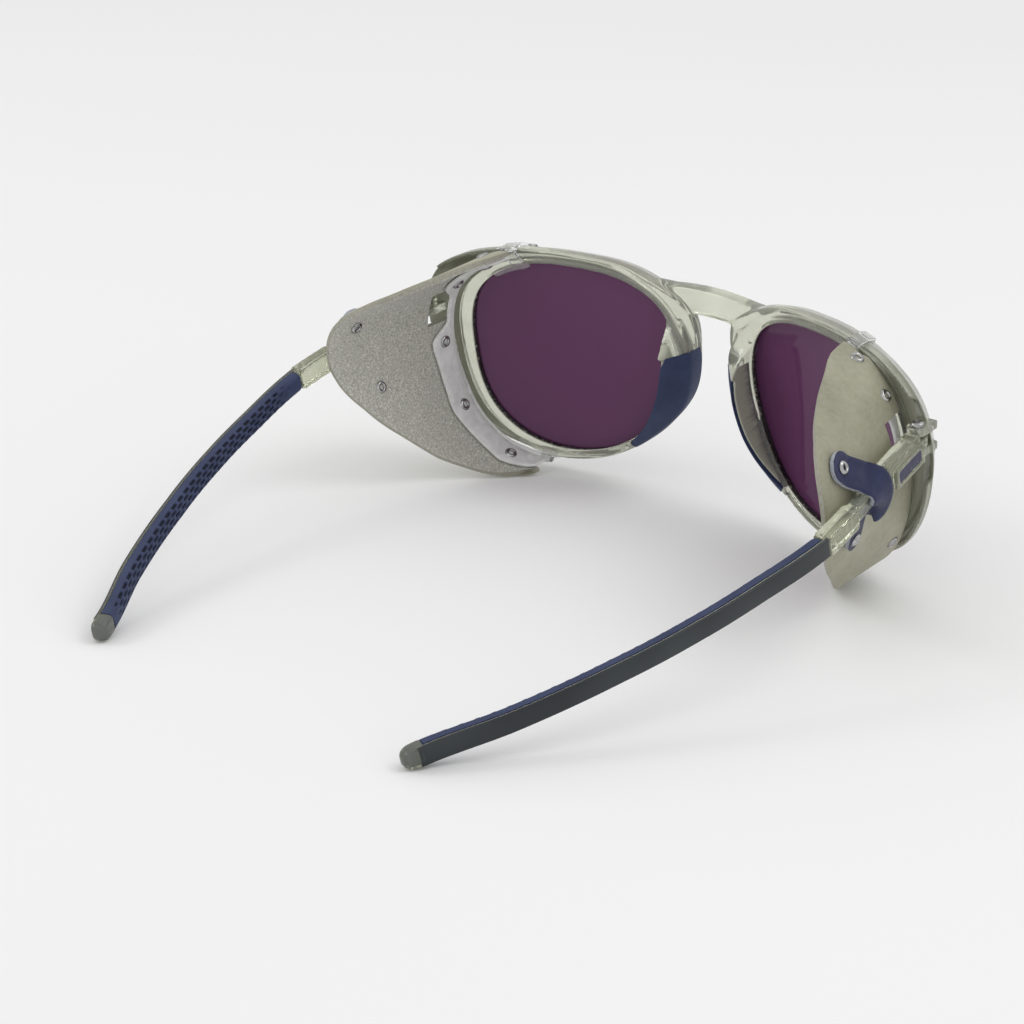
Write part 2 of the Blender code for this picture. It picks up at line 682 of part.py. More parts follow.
def make_strap_rivets(word, side, mats, pivot, anchor):
    high = LEATHER / 2 + GAP + STRAP_THICKNESS + 2.2 * STRAP_LIFT
    for name, (start, normal) in zip(("upper", "lower"), strap_rivet_places()):
        mesh = rivet_mesh(start, normal, -LEATHER / 2, high)
        mesh_object("strap_rivet_" + name + "_" + word, *mesh, mats["metal"], pivot, anchor, side)


# ---- assembly ----
def rest_pitch():
    """Pitch of the front's frame when the glasses lie on lobes and tips."""
    return math.atan2(TIP_FOOT[1] - LOBE_FOOT[1], TIP_FOOT[0] - LOBE_FOOT[0])


def empty(name, place, parent=None):
    item = bpy.data.objects.new(name, None)
    item.empty_display_size = 0.01
    item.location = Vector(place) * MM
    item.parent = parent
    bpy.context.scene.collection.objects.link(item)
    return item


def world_box():
    """Lowest and highest corner of all visible pieces."""
    bpy.context.view_layer.update()
    graph = bpy.context.evaluated_depsgraph_get()
    points = []
    for item in bpy.context.scene.objects:
        if item.type == "MESH" and not item.hide_render:
            shape = item.evaluated_get(graph)
            points += [shape.matrix_world @ v.co for v in shape.data.vertices]
    low = Vector([min(p[i] for p in points) for i in range(3)])
    high = Vector([max(p[i] for p in points) for i in range(3)])
    return low, high


def main():
    clear_scene()
    mats = make_materials()
    root = empty("resting_pose", (0, 0, 0))
    root.rotation_euler = (-rest_pitch(), 0, 0)
    make_front_frame(mats, root)
    for word, side in SIDES:
        anchor = (side * HINGE[0], HINGE[1], TEMPLE_START_Z)
        pivot = empty("hinge_axis_" + word, anchor, root)
        make_lens(word, side, mats, root)
        make_nose_pad("nose_pad_" + word, mats["rubber"], root, side)
        make_screw(word, side, mats, root)
        make_temple(word, side, mats, root, pivot, anchor)
        make_grip(word, side, mats, pivot, anchor)
        make_badge(word, side, mats, pivot, anchor)
        make_shield(word, side, mats, root)
        make_clip(word, side, mats, root)
        make_clip_rivets(word, side, mats, root)
        make_strap(word, side, mats, root, pivot, anchor)
        make_strap_rivets(word, side, mats, pivot, anchor)
    low, high = world_box()
    middle = (low + high) / 2
    root.location = root.location - Vector((middle.x, middle.y, low.z))


main()
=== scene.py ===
"""Looks of the glacier glasses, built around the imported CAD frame."""
import json
import math

import bmesh
import bpy
import numpy as np
from mathutils import Matrix, Vector, noise

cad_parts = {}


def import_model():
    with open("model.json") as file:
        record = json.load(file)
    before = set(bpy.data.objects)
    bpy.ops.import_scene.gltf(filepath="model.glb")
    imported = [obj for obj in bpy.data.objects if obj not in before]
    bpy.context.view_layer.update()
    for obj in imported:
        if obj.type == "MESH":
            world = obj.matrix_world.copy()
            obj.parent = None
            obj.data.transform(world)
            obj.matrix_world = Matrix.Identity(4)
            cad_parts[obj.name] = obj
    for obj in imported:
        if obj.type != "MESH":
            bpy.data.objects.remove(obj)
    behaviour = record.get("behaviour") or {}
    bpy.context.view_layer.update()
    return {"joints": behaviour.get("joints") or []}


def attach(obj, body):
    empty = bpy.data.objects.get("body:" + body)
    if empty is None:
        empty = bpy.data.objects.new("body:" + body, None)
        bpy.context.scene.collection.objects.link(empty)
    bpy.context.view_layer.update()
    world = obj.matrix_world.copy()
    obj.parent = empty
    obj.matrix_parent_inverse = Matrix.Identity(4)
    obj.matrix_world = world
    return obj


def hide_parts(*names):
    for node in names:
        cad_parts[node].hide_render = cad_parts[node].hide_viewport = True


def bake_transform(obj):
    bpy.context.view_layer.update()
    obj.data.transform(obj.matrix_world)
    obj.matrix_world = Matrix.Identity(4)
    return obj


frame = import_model()

MM = 0.001
SIDES = (("left", 1), ("right", -1))

# ---- the front's own frame, in millimetres, as the CAD has it ----
HINGE = np.array([68.2, 18.3, 9.9])
left_joint = next(j for j in frame["joints"] if j["child"] == "temple_left")
TILT_SIN, TILT_COS = left_joint["axis"][1], left_joint["axis"][2]
TILT = np.array([[1, 0, 0], [0, TILT_COS, TILT_SIN], [0, -TILT_SIN, TILT_COS]])
SHIFT = np.array(left_joint["pos_m"]) - TILT @ HINGE * MM


def world(points, side=1):
    """Row-frame points in metres, from points in the front's frame in millimetres."""
    return (np.asarray(points, float) * [side, 1, 1] * MM) @ TILT.T + SHIFT


# ---- shared dimensions, as in the CAD ----
LENS_CENTRE = (34.5, -2.5)
OPENING = ((0, 25.5), (38, 27.3), (92, 23.4), (142, 25.8), (200, 22.2), (260, 23.1), (318, 25.7))
RIM_WIDTH = ((2, 9.8), (16, 11.2), (30, 10.8), (43, 8.2), (62, 4.4), (90, 3.2), (122, 3.8),
             (138, 5.0), (152, 7.2), (168, 5.4), (190, 5.0), (212, 3.2), (240, 2.1), (270, 2.2),
             (300, 2.8), (315, 4.2), (330, 6.2), (345, 7.9))
CHANNEL_DEPTH = ((0, 2.4), (45, 2.4), (75, 1.2), (105, 1.2), (130, 0.0), (170, 0.0), (220, 0.0),
                 (285, 0.0), (310, 1.2), (335, 2.4))
FACE_CURVE, LENS_CURVE, FACE_BACK = 122.0, 91.85, -2.04
RIM_DEPTH, RIM_WALL = 5.6, 2.8
GROOVE = (2.0, 4.4, 1.05)
BRIDGE_TOP, BRIDGE_UNDER, BRIDGE_REACH, BRIDGE_SET_BACK = 19.9, 13.9, 11.5, 1.1
FLANGE_HEIGHT = ((150, 0.4), (158, 4.0), (166, 6.9), (178, 7.8), (198, 7.2), (212, 5.8), (226, 3.6),
                 (240, 1.4))
FLANGE_WIDTH = ((150, 4.5), (166, 5.4), (180, 5.6), (196, 5.6), (210, 4.0), (224, 2.6), (240, 1.5))
FLANGE_KNEE = 1.8
PAD_ANGLES = (167.0, 236.0)
BARREL, KNUCKLES = 2.2, ((6.4, 8.3), (8.6, 10.8), (11.1, 13.0))
TEMPLE_PATH = ((69.0, 20.9), (69.7, 30.0), (71.1, 42.0), (72.3, 52.0), (72.3, 61.0), (69.9, 75.6),
               (66.4, 91.7), (60.8, 109.7), (52.7, 129.8), (42.1, 151.0))
TEMPLE_START_Z, TEMPLE_DROOP = 9.9, 0.1356
GRIP_RUN = (59.0, 146.5)
LEATHER = 1.5
SHIELD_OUT = 4.3
SHIELD_EDGE = ((66, 29.2, 14.0), (63, 30.2, 21.5), (50, 32.0, 35.0), (38, 35.1, 46.0),
               (30, 36.6, 51.2), (20, 36.0, 52.5), (8, 33.7, 51.0), (-7, 30.0, 46.3),
               (-24, 28.2, 40.1), (-43, 29.2, 32.0), (-58, 29.8, 24.5), (-71, 29.2, 17.7),
               (-77, 27.8, 13.8))
SHIELD_ANGLES = (66.0, -77.0)
LEATHER_FOOT = -70.5  # the leather's own last angle, under the clip's plate
WINDOW = ((58.0, 69.0), (12.0, 23.2), (5.4, 14.0))
CLIP_THICKNESS = 1.0
CLIP_ANGLES = (64.0, -75.0)
CLIP_WIDTH = ((-75, 4.5), (-60, 6.4), (-30, 6.8), (0, 6.8), (9, 6.6), (13, 2.0), (29, 2.0), (33, 5.0),
              (45, 5.0), (58, 5.0), (64, 4.6))
CLIP_RIVETS = ((56.0, 3.0), (38.0, 2.8), (6.0, 3.6), (-27.0, 3.4), (-60.0, 3.4))
HOOKS = ((60.0, 66.5), (-77.0, -70.0))  # first and last angle of the clip's saddles over the rim
CLIP_GAP = 0.2  # between the leather and the clip's plate
STRAP_THICKNESS, STRAP_WIDTH = 1.2, 6.8
STRAP_HOLES = ((45.0, 13.8), (40.0, -3.4))
STRAP_GAP = 0.35  # between the leather and the strap
STRAP_COLUMNS = 15
GRIP_THICK, GRIP_TALL, SPLIT = 1.8, 2.2, 0.75
DIMPLE_DEPTH = 0.5
EYELET_STEPS = 28


# ---- smooth values through a few given ones ----
def spline(a, b, c, d, t):
    """Catmull-Rom value between b and c."""
    return 0.5 * (2 * b + (c - a) * t + (2 * a - 5 * b + 4 * c - d) * t * t
                  + (3 * b - 3 * c + d - a) * t ** 3)


def around(table, angle):
    """Smooth value at an angle of a table that closes on itself after a full turn."""
    angle %= 360.0
    count = len(table)
    for i in range(count):
        start = table[i][0]
        end = table[(i + 1) % count][0] + (360.0 if i == count - 1 else 0.0)
        place = angle + (360.0 if angle < start and i == count - 1 else 0.0)
        if start <= place <= end:
            values = [table[(i + k) % count][1] for k in (-1, 0, 1, 2)]
            return spline(*values, (place - start) / (end - start))
    raise ValueError(angle)


def along(table, at, column=1):
    """Smooth value in an open table."""
    last = len(table) - 1
    i = max(0, min(last - 1, sum(row[0] <= at for row in table) - 1))
    t = max(0.0, min(1.0, (at - table[i][0]) / (table[i + 1][0] - table[i][0])))
    values = [table[max(0, min(last, i + k))][column] for k in (-1, 0, 1, 2)]
    return spline(*values, t)


def straight(table, at):
    """Value in an open table with straight stretches."""
    for (a, va), (b, vb) in zip(table[:-1], table[1:]):
        if at <= b:
            return va + (vb - va) * max(0.0, at - a) / (b - a)
    return table[-1][1]


def smoothstep(a, b, x):
    t = max(0.0, min(1.0, (x - a) / (b - a)))
    return t * t * (3 - 2 * t)


def unit(v):
    return v / np.linalg.norm(v)


# ---- meshes ----
def make(name, verts, faces, materials, side=1, face_slots=None, sharp=None):
    """Object in the row frame from points in the front's frame."""
    points = world(verts, side)
    if side < 0:
        faces = [tuple(reversed(f)) for f in faces]
    mesh = bpy.data.meshes.new(name)
    mesh.from_pydata([tuple(p) for p in points], [], faces)
    for material in materials:
        mesh.materials.append(material)
    if face_slots is not None:
        mesh.polygons.foreach_set("material_index", np.array(face_slots, np.int32))
    mesh.update()
    mesh.shade_smooth()
    if sharp:
        mesh.set_sharp_from_angle(angle=math.radians(sharp))
    item = bpy.data.objects.new(name, mesh)
    bpy.context.scene.collection.objects.link(item)
    return item


def right_way_out(item):
    bm = bmesh.new()
    bm.from_mesh(item.data)
    bmesh.ops.recalc_face_normals(bm, faces=bm.faces)
    bm.to_mesh(item.data)
    bm.free()


def loft(rings, closed=False):
    """Skin over rings of points; open ends are closed with a fan."""
    rings = [np.asarray(r, float) for r in rings]
    size, count = len(rings[0]), len(rings)
    verts = np.concatenate(rings)
    faces = []
    for i in range(count if closed else count - 1):
        a, b = i * size, (i + 1) % count * size
        for k in range(size):
            n = (k + 1) % size
            faces.append((a + k, a + n, b + n, b + k))
    if not closed:
        for base, flip in ((0, True), ((count - 1) * size, False)):
            middle = len(verts)
            verts = np.vstack([verts, verts[base:base + size].mean(0)])
            for k in range(size):
                face = (base + k, base + (k + 1) % size, middle)
                faces.append(face[::-1] if flip else face)
    return verts, faces


def join_meshes(parts):
    verts, faces, base = [], [], 0
    for v, f in parts:
        verts.append(np.asarray(v, float))
        faces += [tuple(i + base for i in face) for face in f]
        base += len(v)
    return np.concatenate(verts), faces


def settle(item):
    """Applies the modifiers."""
    bpy.context.view_layer.update()
    graph = bpy.context.evaluated_depsgraph_get()
    mesh = bpy.data.meshes.new_from_object(item.evaluated_get(graph))
    item.modifiers.clear()
    item.data = mesh
    mesh.name = item.name


def fuse(item, voxel, soften, keep):
    """Overlapping solids become one skin with small fillets where they meet."""
    modifier = item.modifiers.new("fuse", "REMESH")
    modifier.mode = "VOXEL"
    modifier.voxel_size = voxel * MM
    modifier.use_smooth_shade = True
    modifier = item.modifiers.new("soften", "SMOOTH")
    modifier.factor = 0.5
    modifier.iterations = soften
    if keep < 1:
        modifier = item.modifiers.new("thin", "DECIMATE")
        modifier.ratio = keep
    settle(item)
    item.data.shade_smooth()


def cut(item, tool, itself=False):
    """Takes the tool out of the item and removes the tool."""
    modifier = item.modifiers.new("cut", "BOOLEAN")
    modifier.operation = "DIFFERENCE"
    modifier.solver = "EXACT"
    modifier.use_self = itself
    modifier.object = tool
    settle(item)
    bpy.data.objects.remove(tool)


def turned(start, direction, profile, steps=32):
    """Profile of (distance, radius) pairs turned round an axis."""
    direction = unit(np.asarray(direction, float))
    helper = np.array([0, 0, 1.0]) if abs(direction[2]) < 0.9 else np.array([0, 1.0, 0])
    across = unit(np.cross(direction, helper))
    third = np.cross(direction, across)
    rings = []
    for distance, radius in profile:
        centre = np.asarray(start, float) + direction * distance
        rings.append([centre + radius * (math.cos(a) * across + math.sin(a) * third)
                      for a in np.linspace(0, 2 * math.pi, steps, endpoint=False)])
    return loft(rings)


def rounded(corners, radii, steps=4):
    """Closed 2-D outline with its corners rounded."""
    out = []
    count = len(corners)
    corners = [np.array(c, float) for c in corners]
    for i in range(count):
        before, here, after = corners[i - 1], corners[i], corners[(i + 1) % count]
        a, b = before - here, after - here
        radius = radii[i] if hasattr(radii, "__len__") else radii
        reach = min(radius, 0.49 * np.linalg.norm(a), 0.49 * np.linalg.norm(b))
        p, q = here + unit(a) * reach, here + unit(b) * reach
        for k in range(steps + 1):
            t = k / steps
            out.append((1 - t) ** 2 * p + 2 * t * (1 - t) * here + t * t * q)
    return out


# ---- node materials ----
class Nodes:
    """A Principled material and short ways to add procedural nodes to it."""

    def __init__(self, name):
        self.material = bpy.data.materials.new(name)
        self.material.use_nodes = True
        self.tree = self.material.node_tree
        self.shader = self.tree.nodes["Principled BSDF"]
        self.place = self.add("ShaderNodeTexCoord").outputs["Object"]

    def add(self, kind, **values):
        node = self.tree.nodes.new(kind)
        for key, value in values.items():
            setattr(node, key, value)
        return node

    def link(self, a, b):
        self.tree.links.new(a, b)

    def set(self, **values):
        for key, value in values.items():
            self.shader.inputs[key.replace("_", " ")].default_value = value

    def noise(self, scale, detail=2.0, rough=0.5, stretch=None, distortion=0.0):
        node = self.add("ShaderNodeTexNoise")
        node.inputs["Scale"].default_value = scale
        node.inputs["Detail"].default_value = detail
        node.inputs["Roughness"].default_value = rough
        node.inputs["Distortion"].default_value = distortion
        source = self.place
        if stretch:
            mapping = self.add("ShaderNodeMapping")
            mapping.inputs["Scale"].default_value = stretch
            self.link(source, mapping.inputs["Vector"])
            source = mapping.outputs["Vector"]
        self.link(source, node.inputs["Vector"])
        return node.outputs["Fac"]

    def cells(self, scale):
        node = self.add("ShaderNodeTexVoronoi")
        node.inputs["Scale"].default_value = scale
        self.link(self.place, node.inputs["Vector"])
        return node.outputs["Distance"]

    def ramp(self, source, stops):
        node = self.add("ShaderNodeValToRGB")
        elements = node.color_ramp.elements
        while len(elements) < len(stops):
            elements.new(0.5)
        for element, (place, colour) in zip(elements, stops):
            element.position = place
            element.color = (*colour, 1.0)
        self.link(source, node.inputs["Fac"])
        return node.outputs["Color"]

    def values(self, source, stops):
        return self.ramp(source, [(p, (v, v, v)) for p, v in stops])

    def mix(self, share, base, other):
        """The base with another colour over it, by a share that comes from a socket."""
        node = self.add("ShaderNodeMix", data_type="RGBA")
        share_input, _, _, _, _, _, base_input, other_input = node.inputs[:8]
        self.link(share, share_input)
        self.link(base, base_input)
        other_input.default_value = (*other, 1.0)
        return node.outputs[2]

    def larger(self, a, b):
        node = self.add("ShaderNodeMath", operation="MAXIMUM")
        self.link(a, node.inputs[0])
        self.link(b, node.inputs[1])
        return node.outputs[0]

    def marked(self, name):
        """Value stored in the mesh's points."""
        return self.add("ShaderNodeAttribute", attribute_name=name).outputs["Fac"]

    def colour(self, source):
        self.link(source, self.shader.inputs["Base Color"])

    def rough(self, scale, detail, least, most):
        source = self.values(self.noise(scale, detail), [(0.3, least), (0.7, most)])
        self.link(source, self.shader.inputs["Roughness"])

    def bump(self, height, distance, strength=1.0, after=None):
        node = self.add("ShaderNodeBump")
        node.inputs["Strength"].default_value = strength
        node.inputs["Distance"].default_value = distance
        self.link(height, node.inputs["Height"])
        if after:
            self.link(after, node.inputs["Normal"])
        self.link(node.outputs["Normal"], self.shader.inputs["Normal"])
        return node.outputs["Normal"]


def crystal_material(name, tint, clear, rough, shaded=False):
    """Clear sage injection-moulded plastic with faint flow marks, darker where the front's
    recesses are in shade."""
    m = Nodes(name)
    flow = m.noise(90, 3, 0.6, stretch=(1, 1, 2.5), distortion=0.6)
    darker = tuple(0.86 * c for c in tint)
    base = m.ramp(flow, [(0.3, darker), (0.7, tint)])
    m.set(Transmission_Weight=clear)
    if shaded:
        # painted shade: dark olive in the rim's channel, darker sage on the flange's inner wall and
        # near-black on the wall round the lens, all made less clear
        channel, flange, wall = m.marked("channel"), m.marked("flange_wall_shade"), m.marked("lens_wall_shade")
        base = m.mix(channel, base, (0.16, 0.165, 0.11))
        base = m.mix(flange, base, (0.52, 0.53, 0.42))
        base = m.mix(wall, base, (0.016, 0.012, 0.014))
        painted_shade = m.larger(m.larger(wall, flange), channel)
        m.link(m.values(painted_shade, [(0.0, clear), (1.0, 0.1)]), m.shader.inputs["Transmission Weight"])
    m.colour(base)
    m.rough(700, 2, rough * 0.7, rough * 1.5)
    m.bump(m.noise(1400, 2), 0.00002, 0.25)
    m.set(IOR=1.46)
    return m.material


def plain_material(name, grain, stops, matte, relief=None, **settings):
    """Noise between two colours, uneven roughness, and a fine relief if one is given."""
    m = Nodes(name)
    m.colour(m.ramp(m.noise(*grain), stops))
    m.rough(*matte)
    if relief:
        scale, distance, strength = relief
        m.bump(m.noise(scale, 2), distance, strength)
    m.set(**settings)
    return m.material


def rubber_material():
    """Matte navy rubber with a fine grain, and painted shade in the grip's dimples."""
    m = Nodes("navy_rubber")
    cloud = m.noise(160, 3)
    base = m.ramp(cloud, [(0.3, (0.025, 0.036, 0.088)), (0.7, (0.038, 0.052, 0.116))])
    # painted shade: near-black navy in the dimples, as deep as each point is pressed in
    m.colour(m.mix(m.marked("pressed"), base, (0.006, 0.007, 0.016)))
    m.rough(2500, 3, 0.5, 0.68)
    m.bump(m.noise(3800, 3, 0.7), 0.00003, 0.5)
    m.set(Specular_IOR_Level=0.3)
    return m.material


def leather_outer_material():
    """Smooth greige leather with pores and stretched creases."""
    m = Nodes("greige_leather")
    cloud = m.noise(75, 4, 0.6)
    fine = m.noise(900, 3, 0.6)
    base = m.ramp(cloud, [(0.25, (0.235, 0.228, 0.155)), (0.5, (0.295, 0.287, 0.202)),
                          (0.8, (0.37, 0.36, 0.265))])
    m.colour(m.mix(m.values(fine, [(0.35, 0.0), (0.75, 0.22)]), base, (0.50, 0.48, 0.40)))
    m.rough(420, 3, 0.50, 0.68)
    creases = m.noise(260, 4, 0.65, stretch=(1, 0.35, 1), distortion=1.2)
    first = m.bump(creases, 0.00022, 0.55)
    m.bump(m.cells(1700), 0.00005, 0.5, after=first)
    m.set(Sheen_Weight=0.08)
    return m.material


def suede_material():
    """Grey flesh side with short speckled nap."""
    m = Nodes("grey_suede")
    speck = m.noise(2300, 4, 0.75)
    cloud = m.noise(130, 3, 0.6)
    base = m.ramp(speck, [(0.32, (0.225, 0.222, 0.188)), (0.5, (0.425, 0.421, 0.372)),
                          (0.68, (0.76, 0.752, 0.685))])
    m.colour(m.mix(m.values(cloud, [(0.3, 0.0), (0.75, 0.30)]), base, (0.42, 0.415, 0.38)))
    m.rough(900, 2, 0.85, 0.98)
    m.bump(speck, 0.00016, 0.8)
    m.set(Sheen_Weight=0.25, Sheen_Roughness=0.6, Specular_IOR_Level=0.15)
    return m.material


def cut_edge_material(name, light, dark):
    """Raw fibrous cut edge of leather."""
    m = Nodes(name)
    fibre = m.noise(1800, 4, 0.7)
    m.colour(m.ramp(fibre, [(0.3, dark), (0.7, light)]))
    m.rough(600, 2, 0.75, 0.9)
    m.bump(fibre, 0.0001, 0.6)
    return m.material


def navy_leather_material():
    """Grained navy leather of the straps."""
    m = Nodes("navy_leather")
    cloud = m.noise(220, 4, 0.6)
    m.colour(m.ramp(cloud, [(0.3, (0.012, 0.016, 0.052)), (0.7, (0.025, 0.031, 0.084))]))
    m.rough(1100, 3, 0.34, 0.5)
    first = m.bump(m.noise(500, 4, 0.6), 0.00008, 0.5)
    m.bump(m.cells(2600), 0.00003, 0.5, after=first)
    m.set(Specular_IOR_Level=0.3)
    return m.material


def floor_material():
    """Matte white studio floor."""
    m = Nodes("studio_floor")
    m.colour(m.ramp(m.noise(3, 2), [(0.3, (0.88, 0.88, 0.88)), (0.7, (0.89, 0.89, 0.89))]))
    m.set(Roughness=1.0, Specular_IOR_Level=0.0)
    return m.material


MATS = {
    "crystal": crystal_material("crystal_plastic", (0.86, 0.88, 0.745), 0.78, 0.06, shaded=True),
    "temple_clear": crystal_material("crystal_temple", (0.70, 0.72, 0.56), 0.86, 0.08),
    # the clear plate over the dark rubber reads as dark slate gloss
    "skin": plain_material("smoked_plate", (28, 2),
                           [(0.32, (0.007, 0.009, 0.013)), (0.68, (0.040, 0.047, 0.050))],
                           (240, 2, 0.16, 0.26), (900, 0.00001, 0.3), IOR=1.38),
    "lens": plain_material("plum_lens", (18, 1), [(0.3, (0.112, 0.037, 0.098)), (0.7, (0.126, 0.043, 0.112))],
                           (300, 2, 0.045, 0.07), IOR=1.28, Coat_Weight=0.12, Coat_Roughness=0.03),
    "rubber": rubber_material(),
    "leather": leather_outer_material(),
    "suede": suede_material(),
    "edge": cut_edge_material("cut_edge", (0.40, 0.39, 0.33), (0.27, 0.26, 0.21)),
    "navy": navy_leather_material(),
    "navy_flesh": cut_edge_material("navy_flesh_side", (0.22, 0.22, 0.23), (0.13, 0.13, 0.15)),
    "navy_edge": cut_edge_material("navy_cut_edge", (0.42, 0.44, 0.48), (0.26, 0.28, 0.33)),
    "frosted": plain_material("frosted_clip", (320, 4, 0.65, None, 0.8),
                              [(0.3, (0.76, 0.76, 0.755)), (0.7, (0.97, 0.97, 0.96))],
                              (500, 3, 0.10, 0.26), (420, 0.00006, 0.35), Transmission_Weight=0.22, IOR=1.42),
    "clear": plain_material("clear_hook", (300, 3), [(0.3, (0.93, 0.94, 0.92)), (0.7, (0.99, 0.99, 0.98))],
                            (500, 3, 0.03, 0.10), (420, 0.00003, 0.3), Transmission_Weight=0.93, IOR=1.47),
    "metal": plain_material("polished_metal", (900, 3),
                            [(0.3, (0.26, 0.26, 0.26)), (0.7, (0.56, 0.56, 0.55))],
                            (1600, 3, 0.10, 0.24), (2500, 0.00002, 0.3), Metallic=1.0),
    # painted shade: near-black material for the inside of the rivets' hollows
    "hollow": plain_material("rivet_hollow_shade", (900, 2), [(0.3, (0.02, 0.02, 0.02)), (0.7, (0.05, 0.05, 0.05))],
                             (1600, 2, 0.4, 0.6)),
    "badge": plain_material("badge_enamel", (500, 3),
                            [(0.3, (0.016, 0.017, 0.052)), (0.7, (0.028, 0.028, 0.078))],
                            (900, 2, 0.18, 0.28), (1500, 0.00001, 0.3), IOR=1.33),
    "floor": floor_material(),
}


# ---- the front ----
def face_back(x, z):
    """Rear face of the curved front."""
    return FACE_BACK + x * x / (2 * FACE_CURVE) + (z - LENS_CENTRE[1]) ** 2 / (2 * LENS_CURVE)


def rim_point(angle, out, forward):
    """Place at an angle round the lens, so far out from its opening and ahead of the rear face."""
    radius = around(OPENING, angle) + out
    x = LENS_CENTRE[0] + radius * math.cos(math.radians(angle))
    z = LENS_CENTRE[1] + radius * math.sin(math.radians(angle))
    return np.array((x, face_back(x, z) - forward, z))


def rim_section(angle):
    """Outline of the rim: inner ridge, channel and lip behind, wall, bevel, and the lens groove."""
    width = around(RIM_WIDTH, angle)
    channel = max(0.0, around(CHANNEL_DEPTH, angle))
    at_hinge = 3 < angle < 33
    ridge = 1.0 + 0.15 * width
    lip = min(0.9, 0.25 * width)
    lip_depth = channel if at_hinge else min(channel, 0.6)
    bevel = min(0.38 * width, 2.6)
    slope = 0.12 * width
    back, front, depth = GROOVE
    return [(0, 0), (ridge, 0), (ridge + 0.3 * slope, channel), (width - lip - 0.3 * slope, channel),
            (width - lip, lip_depth), (width, lip_depth + 0.25), (width, RIM_WALL),
            (width - bevel, RIM_DEPTH), (0.5, RIM_DEPTH), (0, RIM_DEPTH - 0.5),
            (0, front), (depth, front), (depth, back), (0, back)]


def rim_mesh():
    steps = 160
    rings = []
    for step in range(steps):
        angle = 360.0 * step / steps
        rings.append([rim_point(angle, out, forward) for out, forward in rim_section(angle)])
    return loft(rings, closed=True)


def bridge_mesh():
    """Saddle over the nose; its ends run on inside the rims so the outlines flow together."""
    reach = 15.3
    rings = []
    steps = 48
    for step in range(steps + 1):
        x = reach * (2 * step / steps - 1)
        far = max(0.0, abs(x) - BRIDGE_REACH)
        top = BRIDGE_TOP - 0.8 * (x / BRIDGE_REACH) ** 2 + 0.25 * far
        under = BRIDGE_UNDER - 0.8 - 1.4 * min(1.0, abs(x) / BRIDGE_REACH) ** 3 + 1.2 * far
        back = face_back(x, 0.5 * (top + under)) - BRIDGE_SET_BACK
        front = back + BRIDGE_SET_BACK - RIM_DEPTH + 0.4
        section = rounded([(back, under), (back, top), (front, top), (front, under)], [1.4, 1.1, 1.6, 1.6], 5)
        rings.append([(x, y, z) for y, z in section])
    return loft(rings)


def ramp_ends(angle, sink):
    """Rear and nasal end of the nose flange's slope, sunk under the pad where there is one."""
    height = along(FLANGE_HEIGHT, angle)
    width = along(FLANGE_WIDTH, angle)
    knee = min(FLANGE_KNEE, 0.4 * height)
    run, rise = width - 0.2, height - knee
    length = math.hypot(run, rise)
    normal = (rise / length, run / length)
    return (0.2, height - sink * length / run), (width - sink * normal[0], knee - sink * normal[1])


def flange_mesh():
    rings = []
    for angle in np.linspace(FLANGE_HEIGHT[0][0], FLANGE_HEIGHT[-1][0], 60):
        under_pad = smoothstep(PAD_ANGLES[0] - 0.3, PAD_ANGLES[0], angle)
        under_pad *= 1 - smoothstep(PAD_ANGLES[1], PAD_ANGLES[1] + 0.3, angle)
        rear, nasal = ramp_ends(angle, 1.0 * under_pad)
        outline = [(0.2, -1.2), rear, (rear[0] + 0.5, rear[1] - 0.05), nasal, (nasal[0], -1.2)]
        rings.append([rim_point(angle, out, -back) for out, back in outline])
    return loft(rings)


def knuckle_mesh(low, high, reach):
    """Half-round hinge knuckle that runs on into the rim."""
    x, y = HINGE[:2]
    outline = [(x + BARREL * math.cos(a), y + BARREL * math.sin(a)) for a in np.linspace(0, math.pi, 17)]
    outline += [(x - BARREL, y - reach), (x + BARREL, y - reach)]
    return loft([[(px, py, z) for px, py in outline] for z in (low, low + 0.01, high - 0.01, high)])


def ease_bridge(item):
    """Longer fillets where the bridge runs into the rims."""
    group = item.vertex_groups.new(name="bridge")
    points = np.array([v.co for v in item.data.vertices])
    own = front_frame_points(points)
    for index in np.nonzero((np.abs(own[:, 0]) < 20) & (own[:, 2] > 7))[0]:
        x, _, z = own[index]
        share = (1 - smoothstep(13, 20, abs(x))) * smoothstep(7, 11, z)
        group.add([int(index)], share, "REPLACE")
    modifier = item.modifiers.new("ease", "SMOOTH")
    modifier.factor = 0.5
    modifier.iterations = 22
    modifier.vertex_group = "bridge"
    settle(item)


def thin(item, ratio):
    """Fewer triangles where the skin is plain."""
    modifier = item.modifiers.new("thin", "DECIMATE")
    modifier.ratio = ratio
    settle(item)
    item.vertex_groups.clear()
    item.data.shade_smooth()


def front_frame_points(points):
    """Row-frame points in metres, back into the front's frame in millimetres."""
    return ((np.asarray(points) - SHIFT) @ TILT) / MM


